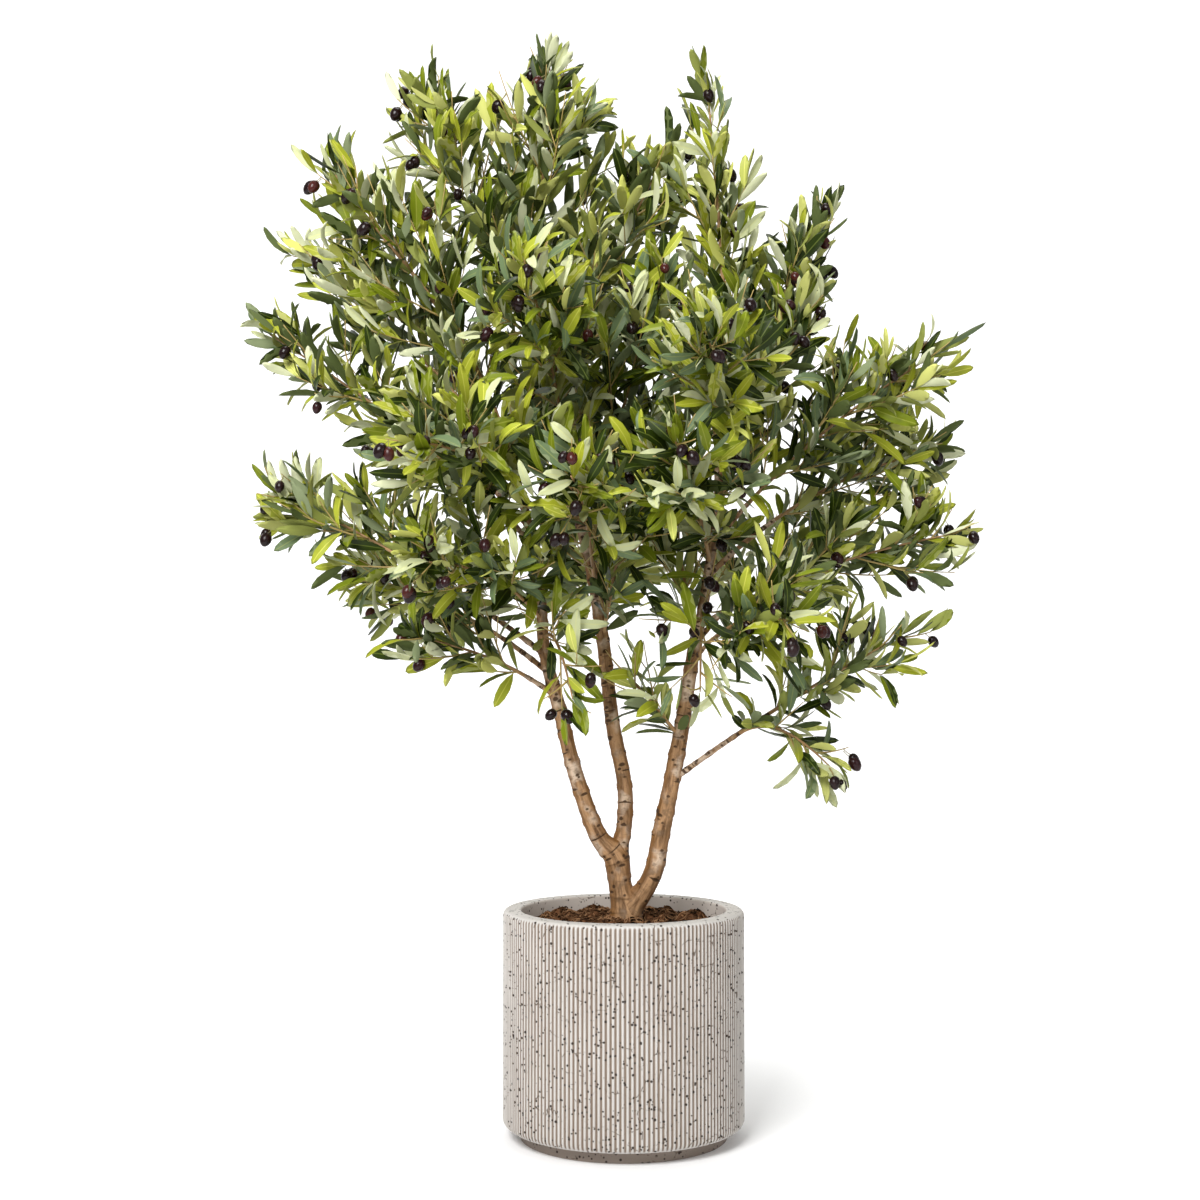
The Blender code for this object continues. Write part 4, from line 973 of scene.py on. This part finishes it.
class Crown:
    """All that grows: lines of points for twigs, and where each leaf sits."""

    def __init__(self, limbs, masses):
        self.draw = np.random.default_rng(3)
        self.masses = masses
        samples = [line.every(LIMB_STEP) for line in limbs.values()]
        self.limb_places = np.vstack([places for places, _, _ in samples])
        self.limb_radii = np.concatenate([radii for _, _, radii in samples])
        self.shown = []
        for name, top in SHOWN_TO.items():
            places = limbs[name].every(SHOWN_STEP)[0]
            self.shown.append(places[(places[:, 2] > SHOWN_FROM) & (places[:, 2] < top)])
        self.shown = np.vstack(self.shown)
        self.low, self.high = (np.array(corner) for corner in cad_box)
        self.stems, self.twigs, self.leaves = [], [], []

    def holds(self, mass, points, more=0.0):
        """Whether each point is in the mass's room, or at most so much further from its line, in
        the whole tree's box, and off the limbs."""
        flat = points.reshape(-1, 3)
        own = np.linalg.norm(flat[:, None] - mass.samples, axis=2)
        nearest = own.argmin(axis=1)
        near = own.min(axis=1)
        room = np.maximum(mass.width * REACH * room_at(nearest / LINE_SAMPLES), LEAST_ROOM)
        held = near < room + more
        for other in self.masses:
            if other is not mass:
                away = np.linalg.norm(flat[:, None] - other.samples[::2], axis=2).min(axis=1)
                held &= near < away + SHARED_ROOM
        off = np.linalg.norm(flat[:, None] - self.limb_places, axis=2) - self.limb_radii
        held &= off.min(axis=1) > LIMB_ROOM
        held &= ((flat > self.low + BOX_INSET) & (flat < self.high - BOX_INSET)).all(axis=1)
        return held.reshape(points.shape[:-1])

    def hides(self, points):
        """Whether each point is straight in front of a stem that shows."""
        apart = points[:, None] - self.shown
        front = (np.abs(apart[..., 0]) < SHOWN_ROOM) & (np.abs(apart[..., 2]) < SHOWN_ROOM)
        return (front & (apart[..., 1] < 0)).any(axis=1)

    def fitted(self, mass, places, headings, turns, lengths):
        """For each twig, the first way round its parent, at the longest share of its length, that
        the mass's room holds. Returns directions and lengths, 0 where none fits."""
        ways = slanted(headings[:, None], turns[:, None] + TRIES, TWIG_SLANT, TWIG_LIFT)
        chosen, sizes = ways[:, 0].copy(), np.zeros(len(places))
        for share in TWIG_SHARES:
            reach = ways * (lengths * share)[:, None, None]
            fits = self.holds(mass, places[:, None] + reach) & self.holds(mass, places[:, None] + reach / 2)
            new = fits.any(axis=1) & (sizes == 0)
            chosen[new] = ways[new, fits[new].argmax(axis=1)]
            sizes[new] = lengths[new] * share
        return chosen, sizes

    def add_twigs(self, places, directions, lengths, radius):
        """Twigs as curves: place + direction L t + (up + aside) L t^2. Returns their points."""
        count = len(places)
        t = np.linspace(0, 1, TWIG_POINTS)[None, :, None]
        aside = across(directions, self.draw.uniform(0, TURN, count))
        bend = UP * self.draw.uniform(*TWIG_RISE, (count, 1))
        bend = bend + aside * self.draw.uniform(-TWIG_SWAY, TWIG_SWAY, (count, 1))
        run = directions[:, None] * t + bend[:, None] * t**2
        points = places[:, None] + run * lengths[:, None, None]
        ends = points[:, -1]
        points = points[((ends > self.low + TWIG_INSET) & (ends < self.high - TWIG_INSET)).all(axis=1)]
        radii = np.linspace(1, 0, TWIG_POINTS) * (radius - TWIG_TIP_RADIUS) + TWIG_TIP_RADIUS
        self.twigs.append((points, np.broadcast_to(radii, points.shape[:2])))
        return points

    def dress(self, mass, points, dressing=TWIG_DRESS):
        """The leaves of twigs of equal point counts: pairs, each a quarter turn on from the last
        and largest near the middle, and the leaves at the end."""
        first, youth = dressing
        count = len(points)
        steps = np.linalg.norm(np.diff(points, axis=1), axis=2)
        along = np.concatenate([np.zeros((count, 1)), steps.cumsum(axis=1)], axis=1)
        most = int(along[:, -1].max() / LEAF_SPACING) + 1
        pairs = np.arange(most)
        mood = self.draw.normal(0, 1, count)
        spin = self.draw.uniform(0, TURN, count)
        for side in (0, 1):
            start = along[:, -1] * first + LEAVES_FROM
            stray = self.draw.uniform(-PAIR_STRAY, PAIR_STRAY, (count, most))
            at = start[:, None] + (pairs + stray) * LEAF_SPACING
            share = at / along[:, -1:]
            here = share < PAIRS_TO
            place, heading = along_curve(points, share)
            turn = spin[:, None] + pairs * math.pi / 2 + side * math.pi
            turn = turn + self.draw.normal(0, LEAF_STRAY, turn.shape)
            slant = LEAF_SLANT * self.draw.uniform(*LEAF_SLANTS, turn.shape)
            slant = slant * (FOOT_SLANT - SLANT_FALL * share)
            size = PAIR_SIZE + PAIR_BULGE * np.sin(math.pi * (0.15 + 0.70 * share))
            size = size * self.draw.uniform(*LEAF_SIZES, turn.shape)
            direction = slanted(heading, turn, slant, LEAF_LIFT)
            grown = np.clip(share, 0, 1) ** 2 * END_YOUTH + youth
            moods = mood[:, None] + 0 * size
            self.add_leaves(mass, place[here], direction[here], size[here], moods, grown, here)
        for i in range(END_LEAVES):
            share = np.full((count, 1), END_FROM - END_STEP * i)
            place, heading = along_curve(points, share)
            turn = spin[:, None] + i * GOLDEN_TURN
            slant = np.full((count, 1), END_SLANT + END_FAN * i)
            size = self.draw.uniform(*END_SIZES, (count, 1))
            direction = slanted(heading, turn, slant, END_LIFT)
            here = np.ones((count, 1), bool)
            grown = np.full((count, 1), 1.0 + youth)
            self.add_leaves(mass, place[here], direction[here], size[here], mood[:, None], grown, here)

    def add_leaves(self, mass, places, directions, sizes, moods, youths, here):
        """The leaves that fit in their mass's room, most of those before a shown stem left out.
        Each faces up and outwards, rolled by a random angle."""
        lengths = LEAF_LENGTH * sizes
        ends = places + directions * lengths[:, None]
        middles = places + directions * lengths[:, None] * 0.55
        kept = self.holds(mass, ends, LEAF_BEYOND) & self.holds(mass, middles, LEAF_BEYOND)
        kept &= ~self.hides(middles) | (self.draw.uniform(0, 1, len(places)) > SHOWN_SHARE)
        outwards = way_out(places, 0.12)
        level = unit(outwards - directions * (outwards * directions).sum(axis=1, keepdims=True))
        roll = self.draw.normal(0, LEAF_ROLL, len(places))[:, None]
        facing = level * np.cos(roll) + np.cross(directions, level) * np.sin(roll)
        self.leaves.append([
            values[kept] for values in (places, directions, facing, lengths, moods[here], youths[here])
        ])

    def grow(self, mass):
        """One mass, by the source's rule: a twig at each node of its stem, each node a golden turn
        on from the last, then finer twigs on the twigs, and leaves on them all."""
        draw = self.draw
        root = mass.parent.radii[-1] if mass.from_tip else BOUGH_TIP_RADIUS
        length = mass.line.length - mass.split
        end = 1 - STEM_SHORT * LEAF_LENGTH / length
        places, _, _ = mass.leafy(np.linspace(0, end, STEM_POINTS))
        thinning = np.linspace(1, 0, STEM_POINTS) ** STEM_THINNING
        radii = STEM_TIP_RADIUS + (root - STEM_TIP_RADIUS) * thinning
        self.stems.append((places[None], radii[None]))
        nodes = round(length / NODE_SPACING)
        share = np.linspace(FIRST_NODE, LAST_NODE * end, nodes)
        place, heading, _ = mass.leafy(share)
        turn = draw.uniform(0, TURN) + GOLDEN_TURN * np.arange(nodes)
        reach = mass.width * room_at(share) / math.sin(TWIG_SLANT)
        wanted = reach * draw.uniform(*TWIG_REACHES, nodes) - LEAF_LENGTH * TWIG_SHORT
        way, size = self.fitted(mass, place, heading, turn, np.maximum(wanted, LEAST_TWIG))
        keep = size > 0
        points = self.add_twigs(place[keep], way[keep], size[keep], TWIG_RADIUS)
        self.dress(mass, points)
        self.finer(mass, points)
        self.dress(mass, places[None], STEM_DRESS)

    def finer(self, mass, points):
        """Side twigs on twigs that are long enough."""
        sizes = np.linalg.norm(points[:, -1] - points[:, 0], axis=1)
        for share, least in SIDE_TWIGS:
            long = sizes > least
            count = int(long.sum())
            place, heading = along_curve(points[long], np.full((count, 1), share))
            place, heading = place[:, 0], heading[:, 0]
            turn = self.draw.uniform(0, TURN, count)
            wanted = sizes[long] * (1 - share) * self.draw.uniform(*SIDE_TWIG_LENGTHS, count)
            way, size = self.fitted(mass, place, heading, turn, np.maximum(wanted, LEAST_TWIG))
            keep = size > 0
            if keep.any():
                self.dress(mass, self.add_twigs(place[keep], way[keep], size[keep], SIDE_TWIG_RADIUS))


def along_curve(points, shares):
    """Places and headings at shares (n, m) along n lines of evenly spaced points (n, k, 3)."""
    last = points.shape[1] - 1
    at = np.clip(shares, 0, 1) * last
    i = np.clip(at.astype(int), 0, last - 1)
    rows = np.arange(len(points))[:, None]
    a, b = points[rows, i], points[rows, i + 1]
    return a + (b - a) * (at - i)[..., None], unit(b - a)


# ---- leaves and twigs


LEAF_STATIONS = (0.07, 0.23, 0.47, 0.72, 0.91)  # shares of a leaf's length
LEAF_WIDTHS = (0.15, 0.64, 1.00, 0.93, 0.56)  # shares of its greatest width there
LEAF_THICKNESS = 0.0008
LEAF_BEND = (0.40, 0.45)  # mean and spread, in radians from foot to tip
LEAF_FOLD = (0.10, 0.42)
LEAF_TWIST = 0.36
RIB_SHARE = 0.085
LEAF_SPECULAR = 0.15
LEAF_RING = 5  # points round a leaf at each station
LEAF_MARGINS = (0, 3)  # those on its two edges
TOP, UNDERSIDE, RIB = 0, 1, 2  # the finishes of a leaf


def leaf_faces():
    """A leaf's faces: between rings of left edge, rib left, rib right, right edge and underside,
    and to a point at each end. Returns quads, triangles, and the finish of each face."""
    quads, triangles = capped_grid(len(LEAF_STATIONS), LEAF_RING)
    finishes = np.tile((TOP, RIB, TOP, UNDERSIDE, UNDERSIDE), len(LEAF_STATIONS) + 1)
    return quads[:, ::-1], triangles[:, ::-1], finishes


def leaf_points(places, directions, facings, lengths, draw):
    """Leaves as surfaces of station and ring: a centre line bent along an arc, a blade folded up
    from its rib by an even angle and twisted towards the tip."""
    count = len(places)
    bend = draw.normal(*LEAF_BEND, count)[:, None]
    bend = np.where(np.abs(bend) < 0.02, 0.02, bend)
    fold = draw.uniform(*LEAF_FOLD, count)[:, None]
    twist = draw.normal(0, LEAF_TWIST, count)[:, None]
    half = LEAF_WIDTH / 2 * (lengths / LEAF_LENGTH) ** 0.6 * draw.uniform(0.80, 1.15, count)
    u = np.array((*LEAF_STATIONS, 0, 1))[None]
    width = half[:, None] * np.array((*LEAF_WIDTHS, 0, 0))
    rib = np.minimum(width * 0.5, half[:, None] * RIB_SHARE)
    y = np.stack([-width, -rib, rib, width, 0 * width], -1)
    h = np.stack([fold * width, 0 * width, 0 * width, fold * width, -np.minimum(LEAF_THICKNESS, width)], -1)
    angle = (twist * u)[..., None]
    y, h = y * np.cos(angle) - h * np.sin(angle), y * np.sin(angle) + h * np.cos(angle)
    x = (lengths[:, None] * np.sin(bend * u) / bend)[..., None]
    z = (-lengths[:, None] * (1 - np.cos(bend * u)) / bend)[..., None]
    x, z = x + h * np.sin(bend * u)[..., None], z + h * np.cos(bend * u)[..., None]
    sides = np.cross(facings, directions)
    axes = (directions, sides, facings)
    points = places[:, None, None] + sum(
        value[..., None] * axis[:, None, None] for value, axis in zip((x, y, z), axes)
    )
    rings = points[:, :-2].reshape(count, -1, 3)
    return np.concatenate([rings, points[:, -2:, 1]], axis=1)


# Leaf tints, from the oldest to the youngest: top, underside, rib, roughness, and the highest
# score of youth that takes them. Each spray has a mood of its own, and its tip scores more.
TINTS = {
    "deep": ((0.018, 0.031, 0.002), (0.085, 0.110, 0.033), (0.088, 0.115, 0.018), 0.34, -0.52),
    "teal": ((0.120, 0.168, 0.078), (0.210, 0.250, 0.130), (0.200, 0.235, 0.085), 0.38, -0.22),
    "green": ((0.150, 0.188, 0.008), (0.240, 0.268, 0.062), (0.240, 0.268, 0.032), 0.36, 0.18),
    "olive": ((0.288, 0.313, 0.022), (0.395, 0.408, 0.120), (0.405, 0.415, 0.055), 0.38, 0.52),
    # Sage: silvery grey-green leaves made paler to stand in for glossy reflections, partly the leaf's own
    # tone and partly painted sheen
    "sage": ((0.490, 0.520, 0.288), (0.600, 0.625, 0.400), (0.530, 0.545, 0.260), 0.44, 1.04),
    "fresh": ((0.345, 0.380, 0.036), (0.510, 0.525, 0.125), (0.530, 0.535, 0.080), 0.38, 1.62),
    "lime": ((0.440, 0.470, 0.105), (0.590, 0.605, 0.175), (0.620, 0.620, 0.165), 0.40, 9.0),
}
MOOD_WEIGHT = 0.38
YOUTH_WEIGHT = 0.55
SCORE_MEAN = -0.22
SCORE_SPREAD = 0.68


def make_leaves(crown):
    """All the leaves, in one piece for each tint."""
    draw = np.random.default_rng(41)
    columns = [np.concatenate(values) for values in zip(*crown.leaves)]
    places, directions, facings, lengths, moods, youths = columns
    points = leaf_points(places, directions, facings, lengths, draw)
    score = moods * MOOD_WEIGHT + youths * YOUTH_WEIGHT
    score = score + draw.normal(SCORE_MEAN, SCORE_SPREAD, len(places))
    tint = np.searchsorted([row[4] for row in TINTS.values()], score)
    quads, triangles, finishes = leaf_faces()
    rings = len(LEAF_STATIONS) * LEAF_RING
    rest = [mass.name for mass in crown.masses]
    for i, (name, (top, under, rib, roughness, _)) in enumerate(TINTS.items()):
        mine = points[tint == i]
        mesh = mesh_of_copies(f"leaves_{name}", mine, quads, triangles)
        shown = np.concatenate([np.tile(part, len(mine)) for part in np.split(finishes, [len(quads)])])
        mesh.polygons.foreach_set("material_index", shown.astype(np.int32))
        ends = np.empty(len(mesh.edges) * 2, np.int32)
        mesh.edges.foreach_get("vertices", ends)
        ends = ends.reshape(-1, 2).T % points.shape[1]
        first, last = ends % LEAF_RING
        margin = (ends < rings).all(axis=0) & (first == last) & np.isin(first, LEAF_MARGINS)
        mesh.attributes.new("sharp_edge", "BOOLEAN", "EDGE").data.foreach_set("value", margin)
        coats = [
            plain_finish(f"{name}_top", top, roughness, LEAF_SPECULAR),
            plain_finish(f"{name}_underside", under, 0.62, LEAF_SPECULAR),
            plain_finish(f"{name}_rib", rib, 0.5, LEAF_SPECULAR),
        ]
        piece(mesh, coats, "foliage", *rest)
        rest = []


def make_twigs(crown):
    """Stems of masses and their twigs, each kind one piece."""
    for name, sets, sides, colour in (
        ("spray_stems", crown.stems, 7, (0.35, 0.20, 0.080)),
        ("twigs", crown.twigs, 5, (0.39, 0.28, 0.090)),
    ):
        points = np.concatenate([points for points, _ in sets])
        radii = np.concatenate([radii for _, radii in sets])
        piece(tubes(name, points, radii, sides), [plain_finish(name, colour, 0.6)], "foliage")


# ---- olives


OLIVE_LENGTH = 0.0230
OLIVE_WIDTH = 0.0180
OLIVE_SIZES = (0.82, 1.08)  # shares of that length and width
OLIVE_BLUNTNESS = 0.10
OLIVE_ENDS = (0.02, 1.015)  # where its two poles lie, in lengths
STALK_LENGTH = 0.012
STALK_LENGTHS = (0.6, 1.2)  # shares of that length
STALK_RADII = (0.0008, 0.0006, 0.0006, 0.0007, 0.0011)
FRUIT_SPOTS = 200
FRUIT_ROOM = 0.045
FRUIT_SHARES = (0.2, 0.9)  # the part of a twig that may bear
FRUIT_LUCK = 2.5  # how many leaves before a spot luck may make up for
FRUIT_VIEW = 0.024  # leaves nearer than this to the way out of the crown hide a spot
FRUIT_INSET = 0.035  # between a spot and the box that the whole tree fills
# Name, skin, blush and share of the olives
SKINS = (
    ("black", (0.009, 0.003, 0.003), (0.022, 0.008, 0.008), 0.68),
    ("plum", (0.024, 0.006, 0.007), (0.012, 0.004, 0.005), 0.22),
    ("russet", (0.052, 0.010, 0.007), (0.024, 0.006, 0.006), 0.10),
)


def fruit_places(crown, draw):
    """Places on the twigs that few leaves hide from outside, well apart, half of them twice."""
    points = np.concatenate([points for points, _ in crown.twigs])
    places = along_curve(points, draw.uniform(*FRUIT_SHARES, (len(points), 2)))[0].reshape(-1, 3)
    inside = (np.abs(places - (crown.low + crown.high) / 2) < (crown.high - crown.low) / 2 - FRUIT_INSET)
    places = places[inside.all(axis=1)]
    outwards = way_out(places, 0.1)
    middles = np.concatenate([row[0] + row[1] * row[3][:, None] * 0.5 for row in crown.leaves])
    hidden = np.zeros(len(places))
    for i, (place, way) in enumerate(zip(places, outwards)):
        apart = middles - place
        ahead = apart @ way
        aside = np.linalg.norm(apart - ahead[:, None] * way, axis=1)
        hidden[i] = ((aside < FRUIT_VIEW) & (ahead > 0.008)).sum()
    best = np.argsort(hidden + draw.uniform(0, FRUIT_LUCK, len(places)))
    chosen = []
    for i in best:
        if len(chosen) == FRUIT_SPOTS:
            break
        if all(np.linalg.norm(places[i] - places[j]) > FRUIT_ROOM for j in chosen):
            chosen.append(i)
    spots = places[chosen]
    return np.concatenate([spots, spots[: FRUIT_SPOTS // 2] - (0, 0, 0.003)])


def make_olives(crown):
    """Ripe olives hanging from leaf axils on short stalks: an egg whose radius is a sine of the
    fall from its stalk times (1 + its bluntness times the cosine of that fall)."""
    draw = np.random.default_rng(52)
    place = fruit_places(crown, draw)
    count = len(place)
    outwards = unit(place * (1, 1, 0) + draw.normal(0, 0.05, place.shape))
    aside = np.cross(outwards, UP) * draw.uniform(-0.7, 0.7, (count, 1))
    down = unit(outwards * draw.uniform(0.1, 0.9, (count, 1)) + aside - UP)
    stalk = STALK_LENGTH * draw.uniform(*STALK_LENGTHS, (count, 1))
    top = place + unit(down + outwards * 0.5) * stalk
    size = draw.uniform(*OLIVE_SIZES, count)
    rows, columns = 6, 10
    turn = np.tile(np.arange(columns) * TURN / columns, rows)
    fall = np.repeat(np.arange(1, rows + 1) * math.pi / (rows + 1), columns)
    radius = np.sin(fall) * (1 + OLIVE_BLUNTNESS * np.cos(fall))
    depth = 0.5 - 0.5 * np.cos(fall)
    x = np.append(np.cos(turn) * radius, (0, 0))[:, None]
    y = np.append(np.sin(turn) * radius, (0, 0))[:, None]
    z = np.append(depth, OLIVE_ENDS)[:, None]
    side, other = square_to(down, down)
    half, length = (OLIVE_WIDTH / 2 * size)[:, None, None], (OLIVE_LENGTH * size)[:, None, None]
    flat = (side[:, None] * x + other[:, None] * y) * half
    body = top[:, None] + flat + down[:, None] * z * length
    quads, triangles = capped_grid(rows, columns)
    kinds = draw.choice(len(SKINS), count, p=[share for _, _, _, share in SKINS])
    for i, (name, skin, blush, _) in enumerate(SKINS):
        mesh = mesh_of_copies(f"olives_{name}", body[kinds == i], quads, triangles)
        piece(mesh, [olive_finish(f"{name}_skin", skin, blush)], "foliage")
    t = np.linspace(0, 1, 5)[None, :, None]
    end = top + down * OLIVE_LENGTH * 0.06
    sag = -UP * (t * (1 - t)) * stalk[:, None] * 0.3
    stalks = place[:, None] * (1 - t) + end[:, None] * t + sag
    radii = np.broadcast_to(np.array(STALK_RADII), stalks.shape[:2])
    mesh = tubes("olive_stalks", stalks, radii, 5)
    piece(mesh, [plain_finish("stalks", (0.26, 0.22, 0.08), 0.6)], "foliage")


# ---- stage


STAGE_HALF = 6.0  # half the floor's width, and the backdrop's height
SWEEP_FROM = 3.0
SWEEP_RADIUS = 1.5
# The paper glows, most on the backdrop and least at the floor's front: painted light that keeps the
# backdrop white and pales the shadows on the floor
PAPER_GLOW = 0.42
SKY_STRENGTH = 0.35
# Name, place, what it is aimed at, size and watts
LIGHTS = (
    ("key", (-1.25, -2.8, 2.95), (0, 0, 1.0), 1.7, 172),
    ("fill", (2.2, -2.6, 1.6), (0, 0, 0.8), 2.0, 14),
    ("top", (0.2, 0.6, 4.2), (0, 0, 1.0), 2.0, 70),
)


def make_stage():
    """A pale floor that sweeps up into a backdrop, soft lights and the camera."""
    across_way = np.array((-STAGE_HALF, STAGE_HALF))[None]
    angles = np.radians(np.linspace(0, 90, 12))
    back = SWEEP_FROM + SWEEP_RADIUS * np.sin(angles)
    depth = np.concatenate([[-STAGE_HALF], back, back[-1:]])[:, None]
    rise = np.concatenate([[0.0], SWEEP_RADIUS * (1 - np.cos(angles)), [STAGE_HALF]])[:, None]
    points = np.stack([across_way + 0 * depth, depth + 0 * across_way, rise + 0 * across_way], -1)
    mesh = mesh_of("floor", points.reshape(-1, 3), grid_quads(len(depth), 2, False))
    # Painted light: the paper glows more the further back it lies
    finish = Finish("paper", Roughness=0.9, Emission_Strength=PAPER_GLOW)
    behind = finish.node("ShaderNodeSeparateXYZ", {}, {0: finish.place}, "Y").clamped(-0.8, 2.0)
    finish.set("Emission Color", finish.mix(behind, (0.0, 0.0, 0.0), (1.0, 1.0, 1.0)))
    finish.coats((0.90, 0.90, 0.90), (finish.noise(2.0), (0.92, 0.92, 0.92)))
    mesh.materials.append(finish.material)
    placed("floor", mesh)

    world = bpy.data.worlds.new("studio")
    world.use_nodes = True
    sky = world.node_tree.nodes["Background"].inputs
    sky["Color"].default_value = (1, 1, 1, 1)
    sky["Strength"].default_value = SKY_STRENGTH
    bpy.context.scene.world = world
    for name, place, aim, size, power in LIGHTS:
        light = placed(name, bpy.data.lights.new(name, "AREA"))
        light.data.energy = power
        light.data.size = size
        way = np.array(aim) - np.array(place)
        light.location = place
        light.rotation_euler = (
            math.atan2(math.hypot(way[0], way[1]), -way[2]), 0, math.atan2(-way[0], way[1])
        )

    camera = placed("camera", bpy.data.cameras.new("camera"))
    camera.data.lens = CAMERA_LENS
    camera.location = CAMERA_PLACE
    camera.rotation_euler = (math.radians(90) + CAMERA_TILT, 0, 0)
    bpy.context.scene.camera = camera
    bpy.context.scene.view_settings.view_transform = "Standard"


# ---- the tree


def main():
    """The stage, the planter, the bark, and then all that grows on it."""
    limbs, masses = grown_lines()
    make_stage()
    make_pot()
    make_soil()
    make_bark(limbs)
    crown = Crown(limbs, masses)
    for mass in masses:
        crown.grow(mass)
    make_leaves(crown)
    make_twigs(crown)
    make_olives(crown)


main()
